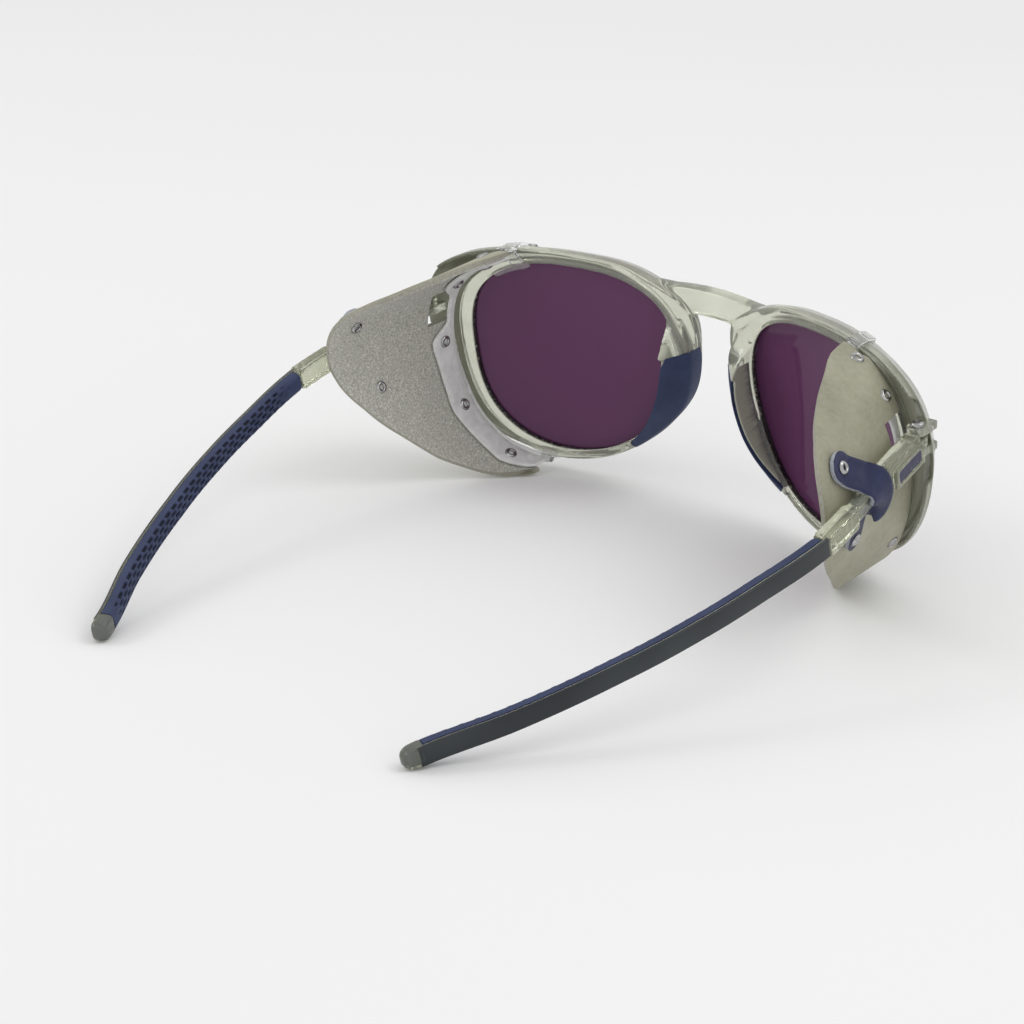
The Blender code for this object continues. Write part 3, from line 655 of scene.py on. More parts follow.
def mark_recesses(item):
    """Stores how deep in shade a place of the rim is, for the painted shade: the channel, the wall round the
    lens and the flange's inner wall.
    """
    mesh = item.data
    points = np.empty(len(mesh.vertices) * 3)
    mesh.vertices.foreach_get("co", points)
    own = front_frame_points(points.reshape(-1, 3))
    channel = np.zeros(len(own), np.float32)
    wall = np.zeros(len(own), np.float32)
    flange = np.zeros(len(own), np.float32)
    for index, (x, y, z) in enumerate(own):
        dx, dz = abs(x) - LENS_CENTRE[0], z - LENS_CENTRE[1]
        angle = math.degrees(math.atan2(dz, dx)) % 360
        out = math.hypot(dx, dz) - around(OPENING, angle)
        forward = face_back(x, z) - y
        width = around(RIM_WIDTH, angle)
        depth = max(0.0, around(CHANNEL_DEPTH, angle))
        ridge = 1.0 + 0.15 * width
        if depth > 0.9 and ridge - 0.1 < out < width + 0.1:
            # the painted shade in the channel is deeper on the temple side
            temporal = (angle > 285) + (angle < 60) * (1 - smoothstep(42, 56, angle))
            sunk = smoothstep(0.35, 0.8, forward / depth) * (1 - smoothstep(1.05, 1.5, forward / depth))
            channel[index] = sunk * (0.25 + 0.63 * min(1.0, temporal))
        if out < 0.5:
            wall[index] = smoothstep(0.15, 0.6, forward) * (1 - smoothstep(0.3, 0.5, out))
        if out < 2.2 and forward < -0.7 and 160 < angle < 238:
            flange[index] = 0.85 * smoothstep(0.7, 1.6, -forward) * (1 - smoothstep(0.9, 2.2, out))
    for name, values in (("channel", channel), ("lens_wall_shade", wall), ("flange_wall_shade", flange)):
        layer = mesh.attributes.new(name, "FLOAT", "POINT")
        layer.data.foreach_set("value", values)


def build_front():
    shapes = [bridge_mesh()]
    for _, side in SIDES:
        for verts, faces in [rim_mesh(), flange_mesh(), knuckle_mesh(*KNUCKLES[0], 4.4),
                             knuckle_mesh(*KNUCKLES[2], 4.4)]:
            verts = np.asarray(verts) * [side, 1, 1]
            shapes.append((verts, faces))
    front = make("front_shell", *join_meshes(shapes), [MATS["crystal"]])
    right_way_out(front)
    fuse(front, 0.25, 4, 1.0)
    ease_bridge(front)
    thin(front, 0.5)
    mark_recesses(front)
    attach(front, "front")
    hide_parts("front_frame")


def build_lens(word, side):
    """Curved lens with a bevelled edge that stands in the rim's groove."""
    back, _, depth = GROOVE
    rear = back + 0.25
    thickness = 1.9
    steps = 128
    shares = list(np.linspace(0.06, 0.94, 14)) + [0.975, 0.993, 1.0]
    rings = []
    places = [(s, rear) for s in shares[:-1]] + [(1.0, rear + 0.25), (1.0, rear + thickness - 0.25)]
    places += [(s, rear + thickness) for s in shares[:-1][::-1]]
    for share, forward in places:
        ring = []
        for step in range(steps):
            angle = 360.0 * step / steps
            radius = (around(OPENING, angle) + depth - 0.25) * share
            x = LENS_CENTRE[0] + radius * math.cos(math.radians(angle))
            z = LENS_CENTRE[1] + radius * math.sin(math.radians(angle))
            ring.append((x, face_back(x, z) - forward, z))
        rings.append(ring)
    lens = make("lens_glass_" + word, *loft(rings), [MATS["lens"]], side)
    right_way_out(lens)
    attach(lens, "front")
    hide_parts("lens_" + word)


def build_pad(word, side):
    """Soft rubber skin over the nose flange and round the nasal edge of the rim."""
    thickness = 1.0
    first, last = PAD_ANGLES
    rings = []
    for angle in np.linspace(first, last, 56):
        ends = smoothstep(first, first + 5, angle) * (1 - smoothstep(last - 4, last, angle))
        rear, nasal = (np.array(p) for p in ramp_ends(angle, 0.0))
        rear_in, nasal_in = (np.array(p) for p in ramp_ends(angle, thickness))
        inset = 0.08 + 0.14 * (1 - ends)
        rear = rear + (nasal - rear) * inset
        rear_in = rear_in + (nasal_in - rear_in) * inset
        wall = around(RIM_WIDTH, angle) + 0.08
        reach = -2.2 - 0.5 * ends
        nasal = np.array((max(nasal[0], wall), nasal[1]))
        corners = [rear, nasal, (wall, reach), (wall - 0.7, reach), (wall - 0.9, nasal_in[1] - 0.4),
                   nasal_in, rear_in]
        section = rounded(corners, [0.5, 1.0, 0.15, 0.15, 0.2, 0.2, 0.2])
        rings.append([rim_point(angle, out, -back) for out, back in section])
    pad = make("nose_pad_skin_" + word, *loft(rings), [MATS["rubber"]], side, sharp=60)
    right_way_out(pad)
    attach(pad, "front")
    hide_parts("nose_pad_" + word)


def build_screw(word, side):
    """Round-headed hinge screw with a small blind socket."""
    foot = KNUCKLES[0][0] + 0.2
    h = KNUCKLES[-1][1] - foot
    profile = [(0, 0.7), (0.2, 0.78), (h + 0.05, 0.78), (h + 0.05, 1.45), (h + 0.45, 1.5), (h + 0.75, 1.25),
               (h + 0.9, 0.9), (h + 0.92, 0.62), (h + 0.45, 0.5), (h + 0.4, 0.1)]
    screw = make("hinge_screw_" + word + "_detail", *turned((*HINGE[:2], foot), (0, 0, 1), profile),
                 [MATS["metal"]], side, sharp=50)
    right_way_out(screw)
    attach(screw, "front")
    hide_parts("hinge_screw_" + word)


# ---- side shields ----
TABLE = SHIELD_EDGE[::-1]  # by rising angle: angle, radius and reach of the rear edge


def shield_middle(angle, depth):
    """Middle of the leather at an angle, so far behind its front edge."""
    x, back, z = rim_point(angle, SHIELD_OUT, 0)
    front_y = back + 0.6
    share = depth / (along(TABLE, angle, 2) - front_y)
    front_radius = around(OPENING, angle) + SHIELD_OUT
    radius = front_radius + (along(TABLE, angle, 1) - front_radius) * share
    x = LENS_CENTRE[0] + radius * math.cos(math.radians(angle))
    z = LENS_CENTRE[1] + radius * math.sin(math.radians(angle))
    return np.array((x, front_y + depth, z))


def shield_point(angle, depth, out):
    """Place off the leather's middle, and the outward normal there."""
    ahead = shield_middle(angle, depth + 0.5) - shield_middle(angle, depth - 0.5)
    turn = shield_middle(angle + 1.0, depth) - shield_middle(angle - 1.0, depth)
    normal = unit(np.cross(turn, ahead))
    if normal[0] * math.cos(math.radians(angle)) + normal[2] * math.sin(math.radians(angle)) < 0:
        normal = -normal
    return shield_middle(angle, depth) + normal * out, normal


def shield_length(angle):
    return along(TABLE, angle, 2) - shield_middle(angle, 0)[1]


def two_sided(rows, cols):
    """Faces of a closed sheet over two grids of points; slots: 0 first side, 1 second, 2 edge."""
    base = rows * cols
    faces, slots = [], []
    for i in range(rows - 1):
        for k in range(cols - 1):
            a, b, c, d = i * cols + k, i * cols + k + 1, (i + 1) * cols + k + 1, (i + 1) * cols + k
            faces += [(a, b, c, d), (d + base, c + base, b + base, a + base)]
            slots += [0, 1]
    loop = list(range(cols)) + [i * cols + cols - 1 for i in range(1, rows)]
    loop += [(rows - 1) * cols + k for k in range(cols - 2, -1, -1)]
    loop += [i * cols for i in range(rows - 2, 0, -1)]
    for a, b in zip(loop, loop[1:] + loop[:1]):
        faces.append((b, a, a + base, b + base))
        slots.append(2)
    return faces, slots


def plate(angles, starts, ends, near, far, across, wave=None, swing=None):
    """Curved plate; faces come with slots 0 outside, 1 inside and 2 on the edge."""
    rows, cols = len(angles), across + 1
    outer, inner = [], []
    for i, (angle, start, end) in enumerate(zip(angles, starts, ends)):
        for k in range(cols):
            share = k / across
            depth = start + (end - start) * share
            turn = angle + (swing(angle, share) if swing else 0.0)
            shift = wave(angle, depth) if wave else 0.0
            rim = min(i, rows - 1 - i, k, cols - 1 - k)
            pinch = 0.18 * (far - near) if rim == 0 else 0.0
            outer.append(shield_point(turn, depth, far + shift - pinch)[0])
            inner.append(shield_point(turn, depth, near + shift + pinch)[0])
    return np.array(outer + inner), *two_sided(rows, cols)


def shield_front_gap(angle):
    """The leather's front edge, drawn back beside the clip's hooks."""
    return straight(((-90, 2.0), (-67, 2.0), (-64, 0.6), (54, 0.6), (57, 2.0), (90, 2.0)), angle)


def leather_wave(angle, depth):
    """Slow unevenness of stretched leather, nothing beside the clip."""
    free = smoothstep(7.0, 16.0, depth)
    return 0.35 * free * noise.noise(Vector((angle * 0.045, depth * 0.09, 3.1)))


def plate_area(angles, starts, ends):
    """Flat area of the shield's cut in square metres, without its window."""
    total = 0.0
    lines = [[shield_point(angle, start + (end - start) * k / 20, 0.0)[0] for k in range(21)]
             for angle, start, end in zip(angles, starts, ends)]
    for p, q in zip(lines[:-1], lines[1:]):
        for k in range(20):
            total += 0.5 * np.linalg.norm(np.cross(p[k + 1] - p[k], q[k] - p[k]))
            total += 0.5 * np.linalg.norm(np.cross(q[k + 1] - p[k + 1], q[k] - q[k + 1]))
    window = (WINDOW[1][1] - WINDOW[1][0]) * (WINDOW[2][1] - WINDOW[2][0])
    return (total - window) * MM * MM


def corner_cut(angle):
    """How much the rear edge is drawn in to round the lower and upper corner."""
    cut_back = 0.0
    for edge, reach, depth in ((LEATHER_FOOT, 8.0, 3.4), (SHIELD_ANGLES[0], 4.0, 1.0)):
        t = max(0.0, 1 - abs(angle - edge) / reach)
        cut_back += depth * (1 - math.sqrt(max(0.0, 1 - t * t)))
    return cut_back


def lower_swing(angle, share):
    """The lower edge bellies out between its two ends."""
    belly = -5.0 * (1 - smoothstep(SHIELD_ANGLES[1], -45.0, angle)) * math.sin(math.pi * share) ** 1.2
    return belly - 2.5 * smoothstep(56.0, SHIELD_ANGLES[0], angle) * (1 - smoothstep(0.1, 0.8, share))


def box_tool(name, low, high, side):
    """Box between two corners, to cut with."""
    rings = [[(low[0], low[1], z), (high[0], low[1], z), (high[0], high[1], z), (low[0], high[1], z)]
             for z in (low[2], high[2])]
    tool = make(name, *loft(rings), [MATS["edge"]], side)
    right_way_out(tool)
    return tool


def build_shield(word, side):
    """Leather side shield, which the clip holds in front and the temple carries behind on the real glasses;
    here it is attached to no body.
    """
    angles = np.linspace(SHIELD_ANGLES[0], LEATHER_FOOT, 110)
    starts = [shield_front_gap(a) - 0.6 + 1.2 * max(0.0, 1 - (a - LEATHER_FOOT) / 3.0) ** 2 for a in angles]
    ends = [shield_length(a) - corner_cut(a) for a in angles]
    verts, faces, slots = plate(angles, starts, ends, -LEATHER / 2, LEATHER / 2, 46, leather_wave,
                                lower_swing)
    skins = [MATS["leather"], MATS["suede"], MATS["edge"]]
    shield = make("shield_" + word, verts, faces, skins, side, slots, 50)
    right_way_out(shield)
    low, high = zip(*WINDOW)
    tool = box_tool("window_tool", low, high, side)
    cut(shield, tool, itself=True)
    shield.data.set_sharp_from_angle(angle=math.radians(50))
    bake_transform(shield)
    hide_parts("shield_leather_" + word)
    plate_area(angles, starts, ends)


def clip_places():
    return [shield_point(angle, depth, 0.0) for angle, depth in CLIP_RIVETS]


def hook_mesh(first, last):
    """Clear saddle over the rim: down the back to the plate, over the top, a lip in front."""
    t = 0.85
    rings = []
    for angle in np.linspace(first, last, 18):
        width = around(RIM_WIDTH, angle)
        bevel = min(0.38 * width, 2.6)
        near, far = width + 0.12, width - bevel + 0.15
        behind, wall, ahead, lip, foot = 0.22, RIM_WALL + 0.1, RIM_DEPTH + 0.2, 1.3, 0.9
        outline = [(foot, -behind), (near, -behind), (near, wall), (far, ahead), (lip, ahead),
                   (lip, ahead + t * 0.8), (far + 0.4, ahead + t * 0.8), (near + t, wall + 0.3),
                   (near + t, -behind - t), (foot, -behind - t)]
        rings.append([rim_point(angle, out, forward) for out, forward in outline])
    return loft(rings)


def lens_tab_mesh():
    """Thin tongue of the clip that runs on along the lens above its upper hook."""
    rings = []
    for angle in np.linspace(48.0, 68.5, 24):
        fade = 1.0 - smoothstep(65.0, 68.5, angle)
        low, high = -0.5 - 0.5 * fade, 0.55
        outline = [(low, -0.22), (high, -0.22), (high, -0.9), (low, -0.9)]
        rings.append([rim_point(angle, out, forward) for out, forward in outline])
    return loft(rings)


def web_mesh():
    """Narrow wall that closes the gap between the clip's plate and the rim."""
    rings = []
    for angle in np.linspace(CLIP_ANGLES[1], 4.0, 60):
        high = SHIELD_OUT - 0.6
        low = min(around(RIM_WIDTH, angle) - 0.5, SHIELD_OUT - 1.6)
        low += (high - 0.3 - low) * smoothstep(-22.0, 2.0, angle)
        rings.append([rim_point(angle, out, forward)
                      for out, forward in ((low, -0.22), (high, -0.22), (high, -1.0), (low, -1.0))])
    return loft(rings)


def build_clip(word, side):
    """Frosted plate inside the leather, and the clear hooks that hold it on the rim."""
    angles = np.linspace(*CLIP_ANGLES, 120)
    near, far = -LEATHER / 2 - CLIP_GAP - CLIP_THICKNESS, -LEATHER / 2 - CLIP_GAP
    starts = [0.2 if -68 < a < 58 else 0.0 for a in angles]
    ends = []
    for angle in angles:
        width = sum(straight(CLIP_WIDTH, angle + d) for d in (-2.4, -1.2, 0, 1.2, 2.4)) / 5
        swell = sum(math.exp(-((angle - a) / 7.0) ** 2) for a, _ in CLIP_RIVETS)
        ends.append(width + 0.7 * swell * (width > 3) - 0.25 * (width > 3))
    verts, faces, _ = plate(angles, starts, ends, near, far, 6)
    saddles = [hook_mesh(*reach) for reach in HOOKS]
    hooks = make("clip_hooks_" + word, *join_meshes([lens_tab_mesh()] + saddles), [MATS["clear"]], side)
    right_way_out(hooks)
    fuse(hooks, 0.17, 3, 0.6)
    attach(hooks, "front")
    clip = make("clip_" + word, *join_meshes([(verts, faces), web_mesh()]), [MATS["frosted"]], side)
    right_way_out(clip)
    fuse(clip, 0.17, 3, 0.6)
    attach(clip, "front")
    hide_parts("shield_clip_" + word)


def eyelet(start, normal, low, high):
    """Tubular rivet: rolled rim with painted shade, a near-black material, in the hollow on the inside, low
    dome outside.
    """
    profile = [(low + 0.75, 0.05), (low + 0.70, 0.50), (low - 0.05, 0.56), (low - 0.38, 0.74),
               (low - 0.46, 0.96), (low - 0.34, 1.24), (low - 0.14, 1.44), (low - 0.02, 1.50), (low, 1.3),
               (low, 0.8), (high, 0.8), (high, 1.3), (high + 0.02, 1.50), (high + 0.14, 1.44),
               (high + 0.34, 1.24), (high + 0.46, 0.96), (high + 0.38, 0.74), (high + 0.05, 0.56),
               (high - 0.7, 0.50), (high - 0.75, 0.05)]
    verts, faces = turned(start, normal, profile, EYELET_STEPS)
    rows = len(profile) - 1
    # slot 1 is painted shade: the hollow's inner rows and its end fans
    slots = [1 if row < 2 or row >= rows - 2 else 0 for row in range(rows) for _ in range(EYELET_STEPS)]
    return verts, faces, slots + [1] * (2 * EYELET_STEPS)


def make_eyelet(name, place, normal, low, high, side):
    verts, faces, slots = eyelet(place, normal, low, high)
    rivet = make(name, verts, faces, [MATS["metal"], MATS["hollow"]], side, slots, 70)
    right_way_out(rivet)
    return rivet


def build_clip_rivets(word, side):
    low, high = -LEATHER / 2 - CLIP_GAP - CLIP_THICKNESS - 0.02, LEATHER / 2 + 0.02
    for number, (start, normal) in enumerate(clip_places(), 1):
        rivet = make_eyelet("eyelet_" + str(number) + "_" + word, start, normal, low, high, side)
        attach(rivet, "front")
        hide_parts("clip_rivet_" + str(number) + "_" + word)


def strap_places():
    """Rivet places of the strap on the leather, found from their depth and height, with normals."""
    places = []
    for y, z in STRAP_HOLES:
        angle = 20.0
        for _ in range(20):
            depth = y - shield_middle(angle, 0)[1]
            angle += 2.0 * (z - shield_middle(angle, depth)[2])
        places.append(shield_point(angle, depth, 0.0))
    return places


def smooth_path(points, count):
    """Evenly spaced places along a smooth line through a few points."""
    points = [np.array(p, float) for p in points]
    last = len(points) - 1
    line = []
    for i in range(last):
        around_it = [points[max(0, min(last, i + k))] for k in (-1, 0, 1, 2)]
        line += [spline(*around_it, t) for t in np.linspace(0, 1, 24, endpoint=False)]
    line = np.array(line + [points[-1]])
    length = np.concatenate([[0], np.cumsum(np.linalg.norm(np.diff(line, axis=0), axis=1))])
    even = np.linspace(0, length[-1], count)
    return np.array([[np.interp(e, length, line[:, k]) for k in range(3)] for e in even])


def strap_line():
    """From the upper rivet forward over the temple's neck, down its outer side and back under it."""
    (top, top_normal), (foot, foot_normal) = strap_places()
    out = (LEATHER + STRAP_THICKNESS) / 2 + STRAP_GAP
    start, end = top + top_normal * out, foot + foot_normal * out
    first_run = unit(np.array((69.8, 41.4, 11.9)) - start)
    first_run = unit(first_run - top_normal * (first_run @ top_normal))
    last_run = unit(end - np.array((68.6, 41.0, 0.4)))
    last_run = unit(last_run - foot_normal * (last_run @ foot_normal))
    tail = 3.3
    route = [start - first_run * tail, start - first_run * 0.5 * tail, start, start + first_run * 1.9,
             (69.7, 41.0, 11.5), (72.4, 39.2, 10.0), (73.2, 38.5, 7.4), (72.6, 39.0, 4.8), (70.8, 40.4, 4.1),
             (69.3, 41.2, 2.6), (68.6, 41.0, 0.4), end - last_run * 1.9, end, end + last_run * 0.5 * tail,
             end + last_run * tail]
    return smooth_path(route, 110), top_normal, foot_normal


def strap_half_width(at, from_end):
    """Half the strap's width: narrower under the temple, rounded at both ends."""
    corner = 3.0
    half = STRAP_WIDTH / 2 - 1.2 * smoothstep(0.55, 0.80, at)
    if from_end < corner:
        half -= corner - math.sqrt(max(0.0, corner ** 2 - (corner - from_end) ** 2))
    return half


def strap_points(points, top_normal, foot_normal):
    """Grids of points on both sides of the strap, first one side and then the other."""
    length = np.linalg.norm(np.diff(points, axis=0), axis=1).sum()
    last = len(points) - 1
    verts = []
    for side_face in (1, -1):
        for k, point in enumerate(points):
            tangent = unit(points[min(k + 1, last)] - points[max(k - 1, 0)])
            leave, land = smoothstep(0.22, 0.40, k / last), smoothstep(0.62, 0.80, k / last)
            facing = top_normal * (1 - leave) + foot_normal * land
            facing = facing + np.array((1.0, 0.0, 0.0)) * leave * (1 - land)
            wide = unit(np.cross(facing, tangent))
            thick = np.cross(tangent, wide)
            half = strap_half_width(k / last, min(k, last - k) / last * length)
            for c in range(STRAP_COLUMNS):
                share = 2 * c / (STRAP_COLUMNS - 1) - 1
                pinch = 0.16 if c in (0, STRAP_COLUMNS - 1) or k in (0, last) else 0.0
                cup = 0.12 * (1 - share * share)
                shift = side_face * (STRAP_THICKNESS / 2 - pinch) - cup
                verts.append(point + wide * half * share + thick * shift)
    return verts


def build_strap(word, side):
    """Navy strap round the temple's neck, grain side out, with its two rivets."""
    points, top_normal, foot_normal = strap_line()
    verts = strap_points(points, top_normal, foot_normal)
    faces, slots = two_sided(len(points), STRAP_COLUMNS)
    middle = len(verts) // 4
    if verts[middle][0] < verts[middle + len(verts) // 2][0]:
        slots = [{0: 1, 1: 0, 2: 2}[s] for s in slots]
    skins = [MATS["navy"], MATS["navy_flesh"], MATS["navy_edge"]]
    strap = make("strap_band_" + word, verts, faces, skins, side, slots, 50)
    right_way_out(strap)
    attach(strap, "temple_" + word)
    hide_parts("strap_" + word)
    low, high = -LEATHER / 2 - 0.02, LEATHER / 2 + STRAP_GAP + STRAP_THICKNESS + 0.03
    for name, (place, normal) in zip(("upper", "lower"), strap_places()):
        rivet = make_eyelet("strap_eyelet_" + name + "_" + word, place, normal, low, high, side)
        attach(rivet, "temple_" + word)
        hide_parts("strap_rivet_" + name + "_" + word)


# ---- temples ----
def temple_x(y):
    return along([(row[1], row[0]) for row in TEMPLE_PATH], y)


def temple_frame(y):
    """Centre of the temple at y, with its outward and upward directions."""
    step = 0.5
    middle = max(TEMPLE_PATH[0][1] + step, min(TEMPLE_PATH[-1][1] - step, y))
    low, high = middle - step, middle + step
    run = unit(np.array((temple_x(high) - temple_x(low), high - low, -TEMPLE_DROOP * (high - low))))
    up = unit(np.array((0, 0, 1.0)) - run * run[2])
    centre = np.array((temple_x(y), y, TEMPLE_START_Z - TEMPLE_DROOP * (y - HINGE[1])))
    return centre, unit(np.cross(run, up)), up


def temple_ring(y, inner, outer, half, radius, steps=5):
    """Rounded rectangular section of the temple."""
    centre, out, up = temple_frame(y)
    section = rounded([(inner, -half), (inner, half), (outer, half), (outer, -half)], radius, steps)
    return [centre + out * a + up * c for a, c in section]


def badge_mesh(low, high, half_length, half_height):
    """Rounded plate on the hinge block's outer face, between two heights over that face."""
    middle, face = 27.0, 1.9
    section = rounded([(-half_length, -half_height), (half_length, -half_height), (half_length, half_height),
                       (-half_length, half_height)], 0.8, 5)
    rings = []
    for a in (low, high - 0.15, high):
        shrink = 0.12 if a == high else 0.0
        ring = []
        for s, c in section:
            centre, out, up = temple_frame(middle + s * (1 - shrink / half_length))
            ring.append(centre - 0.5 * up + out * (face + a) + up * c * (1 - shrink / half_height))
        rings.append(ring)
    return loft(rings)


def neck_mesh():
    """Hinge block, neck and ribbed step block, from rows of y, inner face, outer face and half height."""
    rows = [(20.9, -1.9, 1.9, 3.0), (33.4, -1.9, 1.9, 3.0), (34.8, -1.4, 1.3, 2.1), (46.6, -1.4, 1.3, 2.1),
            (48.0, -1.9, 2.0, 2.5), (58.0, -1.95, 2.0, 2.5), (58.5, -1.8, 1.8, 2.2), (58.9, -1.8, 1.8, 2.2)]
    rings = []
    for (y0, *a), (y1, *b) in zip(rows[:-1], rows[1:]):
        count = max(2, int((y1 - y0) / 0.5))
        for k in range(count):
            t = k / count
            inner, outer, half = [p + (q - p) * t for p, q in zip(a, b)]
            y = y0 + (y1 - y0) * t
            rib = 0.09 * (0.5 - 0.5 * math.cos((y - 49.0) * math.pi)) if 49.0 < y < 57.0 else 0.0
            rings.append(temple_ring(y, inner, outer - rib, half, 0.7))
    rings.append(temple_ring(rows[-1][0], *rows[-1][1:], 0.7))
    return loft(rings)


def tip_mesh():
    """Rounded clear end of the temple."""
    end = TEMPLE_PATH[-1][1]
    rings = []
    for y in np.linspace(GRIP_RUN[1] + 0.1, end, 30):
        t = min(1.0, (end - y) / 2.4)
        scale = 0.25 + 0.75 * math.sqrt(max(0.0, 1 - (1 - t) ** 2))
        thick, tall = GRIP_THICK * scale, GRIP_TALL * scale
        rings.append(temple_ring(y, -thick, thick, tall, 1.1 * scale, 6))
    return loft(rings)


def barrel_mesh():
    """The temple's middle hinge knuckle."""
    x, y = HINGE[:2]
    turn = np.linspace(math.pi, 2 * math.pi, 17)
    outline = [(x + BARREL * math.cos(a), y + BARREL * math.sin(a)) for a in turn]
    outline += [(x + BARREL, y + 4.0), (x - 1.2, y + 4.0)]
    return loft([[(px, py, z) for px, py in outline] for z in (KNUCKLES[1][0], 9.6, KNUCKLES[1][1])])


def build_temple_plate(word, side):
    """Outer plate along the grip: smoked on its outer face, clear along its edges."""
    rings = []
    for y in np.linspace(58.2, GRIP_RUN[1] + 1.5, 130):
        rings.append(temple_ring(y, SPLIT, GRIP_THICK, GRIP_TALL, 0.5))
    skins = [MATS["skin"], MATS["temple_clear"]]
    plate_piece = make("temple_plate_" + word, *loft(rings), skins, side, sharp=75)
    right_way_out(plate_piece)
    across = len(rings[0])
    slots = []
    for face in plate_piece.data.polygons:
        on_ring = max(face.vertices) < len(rings) * across
        column = min(v % across for v in face.vertices) if on_ring else -1
        slots.append(0 if 11 <= column < 20 else 1)
    plate_piece.data.polygons.foreach_set("material_index", slots)
    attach(plate_piece, "temple_" + word)


def build_temple(word, side):
    """Clear shell of the temple with a pocket for the blank badge."""
    parts = [neck_mesh(), tip_mesh(), barrel_mesh(), badge_mesh(-1.0, 1.0, 5.8, 2.4)]
    shell = make("temple_shell_" + word, *join_meshes(parts), [MATS["temple_clear"]], side)
    right_way_out(shell)
    fuse(shell, 0.2, 3, 0.5)
    pocket = make("pocket_tool", *badge_mesh(0.25, 2.4, 4.9, 1.55), [MATS["temple_clear"]], side)
    right_way_out(pocket)
    cut(shell, pocket)
    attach(shell, "temple_" + word)
    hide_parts("temple_" + word)
    badge = make("badge_plate_" + word, *badge_mesh(0.3, 0.85, 4.75, 1.42), [MATS["badge"]], side, sharp=40)
    right_way_out(badge)
    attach(badge, "temple_" + word)
    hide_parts("badge_" + word)


def dimple(y, height):
    """Depth of the staggered rectangular dimples at a place on the grip's inner face."""
    fade = smoothstep(61.5, 72.0, y) * (1 - smoothstep(141.0, 145.5, y))
    if fade <= 0:
        return 0.0
    pitch, row_pitch, lowest = 2.9, 1.06, -2.75
    row = math.floor((height - lowest) / row_pitch)
    if row < 0 or row > 4:
        return 0.0
    across = (height - lowest) / row_pitch - row - 0.5
    place = (y + (row % 2) * pitch / 2) / pitch
    along_it = place - math.floor(place) - 0.5
    half = 0.33 * (0.35 + 0.65 * fade)
    inside = 1 - smoothstep(half - 0.05, half + 0.04, abs(along_it))
    inside *= 1 - smoothstep(half - 0.08, half + 0.06, abs(across))
    return DIMPLE_DEPTH * inside * min(1.0, fade * 1.6)


def grip_outline():
    """Points and normals round the rubber bar's inner face and its two rounded corners."""
    inner, half, corner = -GRIP_THICK, GRIP_TALL, 1.25
    line = []
    flat = np.linspace(-(half - corner), half - corner, 20)
    for angle in np.linspace(90, 0, 16)[:-1]:
        a = math.radians(angle)
        line.append((inner + corner - corner * math.cos(a), -(half - corner) - corner * math.sin(a),
                     -math.cos(a), -math.sin(a)))
    line += [(inner, h, -1.0, 0.0) for h in flat]
    for angle in np.linspace(0, 90, 16)[1:]:
        a = math.radians(angle)
        line.append((inner + corner - corner * math.cos(a), half - corner + corner * math.sin(a),
                     -math.cos(a), math.sin(a)))
    return line


def build_grip(word, side):
    """Rubber bar with dimples pressed in its inner face, and its tongue inside the clear tip."""
    line = grip_outline()
    lengths = [0.0]
    for (a0, h0, *_), (a1, h1, *_) in zip(line[:-1], line[1:]):
        lengths.append(lengths[-1] + math.hypot(a1 - a0, h1 - h0))
    heights = [value - lengths[-1] / 2 for value in lengths]
    rings, pressed = [], []
    first, last = GRIP_RUN
    for y in np.linspace(first, last, 560):
        centre, out, up = temple_frame(y)
        nose = math.sqrt(max(0.0, 1 - max(0.0, 1 - (y - first) / 1.2) ** 2))
        size = 0.78 + 0.22 * nose
        ring = []
        for (a, h, na, nh), place in zip(line, heights):
            press = dimple(y, place - 0.2)
            pressed.append(press / DIMPLE_DEPTH)
            across = (a - SPLIT) * size + SPLIT - na * press
            ring.append(centre + out * across + up * (h * size - nh * press))
        for a in np.linspace(line[-1][0] + 0.2, SPLIT - 0.02, 6):
            ring.append(centre + out * ((a - SPLIT) * size + SPLIT) + up * GRIP_TALL * size)
        for h in np.linspace(GRIP_TALL - 0.5, -GRIP_TALL + 0.5, 5):
            ring.append(centre + out * (SPLIT - 0.02) + up * h * size)
        for a in np.linspace(SPLIT - 0.02, line[0][0] + 0.2, 6):
            ring.append(centre + out * ((a - SPLIT) * size + SPLIT) - up * GRIP_TALL * size)
        pressed += [0.0] * (len(ring) - len(line))
        rings.append(ring)
    tongue = np.linspace(last - 0.3, last + 3.0, 8)
    core = loft([temple_ring(y, -1.2, 1.2, 1.5, 0.6) for y in tongue])
    grip = make("grip_" + word, *join_meshes([loft(rings), core]), [MATS["rubber"]], side, sharp=62)
    pressed += [0.0] * (len(grip.data.vertices) - len(pressed))
    # the dimples' depth is stored for the rubber's painted shade in them
    layer = grip.data.attributes.new("pressed", "FLOAT", "POINT")
    layer.data.foreach_set("value", np.array(pressed, np.float32))
    right_way_out(grip)
    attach(grip, "temple_" + word)
    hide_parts("temple_grip_" + word)


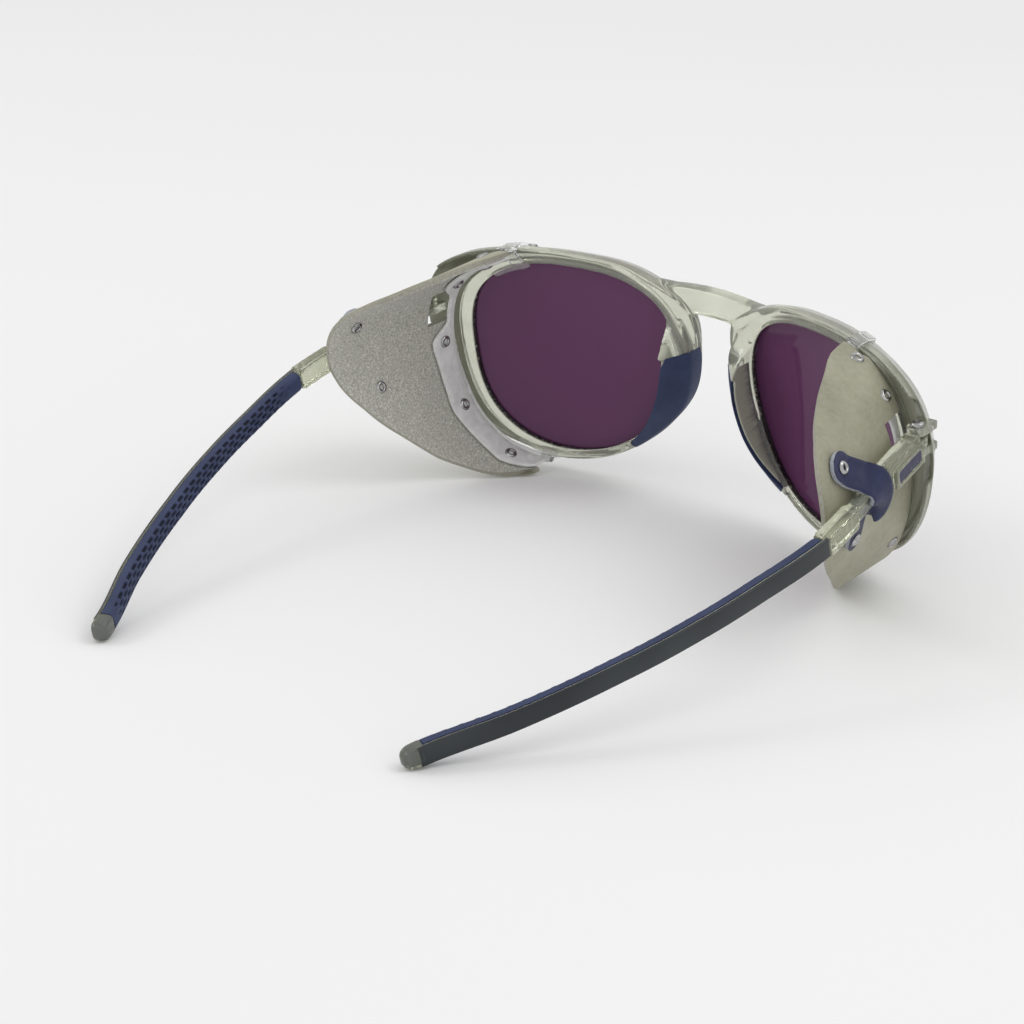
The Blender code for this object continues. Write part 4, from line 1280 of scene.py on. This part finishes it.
# ---- studio ----
def camera_at(azimuth, elevation, roll, shift_x, shift_y, distance, focal):
    """Camera stated in the front's frame: it looks along minus `back`, with the front's
    origin shifted in the picture plane; angles in degrees, the rest in millimetres."""
    a, e, r = (math.radians(v) for v in (azimuth, elevation, roll))
    back = np.array([math.sin(a) * math.cos(e), -math.cos(a) * math.cos(e), math.sin(e)])
    right = unit(np.cross((0, 0, 1.0), back))
    up = np.cross(back, right)
    rows = np.array([math.cos(r) * right + math.sin(r) * up, -math.sin(r) * right + math.cos(r) * up, back])
    place = -rows.T @ np.array([shift_x, shift_y, -distance])
    turn = TILT @ rows.T
    camera = bpy.data.objects.new("camera", bpy.data.cameras.new("camera"))
    bpy.context.scene.collection.objects.link(camera)
    matrix = Matrix(turn.tolist()).to_4x4()
    matrix.translation = Vector(world(place))
    camera.matrix_world = matrix
    camera.data.sensor_width = 36.0
    camera.data.lens = focal
    camera.data.clip_start, camera.data.clip_end = 0.02, 20.0
    bpy.context.scene.camera = camera


def area_light(name, place, aim, size, power):
    """Round soft light that faces a place."""
    data = bpy.data.lights.new(name, "AREA")
    data.shape = "DISK"
    data.size = size
    data.energy = power
    lamp = bpy.data.objects.new(name, data)
    lamp.location = place
    lamp.rotation_euler = (Vector(aim) - Vector(place)).to_track_quat("-Z", "Y").to_euler()
    bpy.context.scene.collection.objects.link(lamp)


def build_studio():
    """White floor, even sky light and two weak lamps."""
    mesh = bpy.data.meshes.new("floor")
    bm = bmesh.new()
    bmesh.ops.create_grid(bm, x_segments=8, y_segments=8, size=6.0)
    bm.to_mesh(mesh)
    bm.free()
    floor = bpy.data.objects.new("floor", mesh)
    floor.location = (0, 0, -0.0003)
    mesh.materials.append(MATS["floor"])
    bpy.context.scene.collection.objects.link(floor)
    world_shader = bpy.data.worlds.new("studio")
    world_shader.use_nodes = True
    background = world_shader.node_tree.nodes["Background"]
    background.inputs["Color"].default_value = (1.0, 1.0, 1.0, 1)
    background.inputs["Strength"].default_value = 0.85
    bpy.context.scene.world = world_shader
    area_light("key", (-0.5, -0.3, 0.9), (0, 0, 0.02), 0.6, 1.6)
    area_light("rim_light", (0.6, 0.5, 0.6), (0, 0, 0.02), 0.3, 0.9)
    bpy.context.scene.view_settings.view_transform = "Standard"


camera_at(azimuth=222.58, elevation=27.70, roll=-4.60, shift_x=44.63, shift_y=30.97, distance=682.676,
          focal=106.2207)
build_studio()
build_front()
for word, side in SIDES:
    build_lens(word, side)
    build_pad(word, side)
    build_screw(word, side)
    build_shield(word, side)
    build_clip(word, side)
    build_clip_rivets(word, side)
    build_strap(word, side)
    build_temple_plate(word, side)
    build_temple(word, side)
    build_grip(word, side)
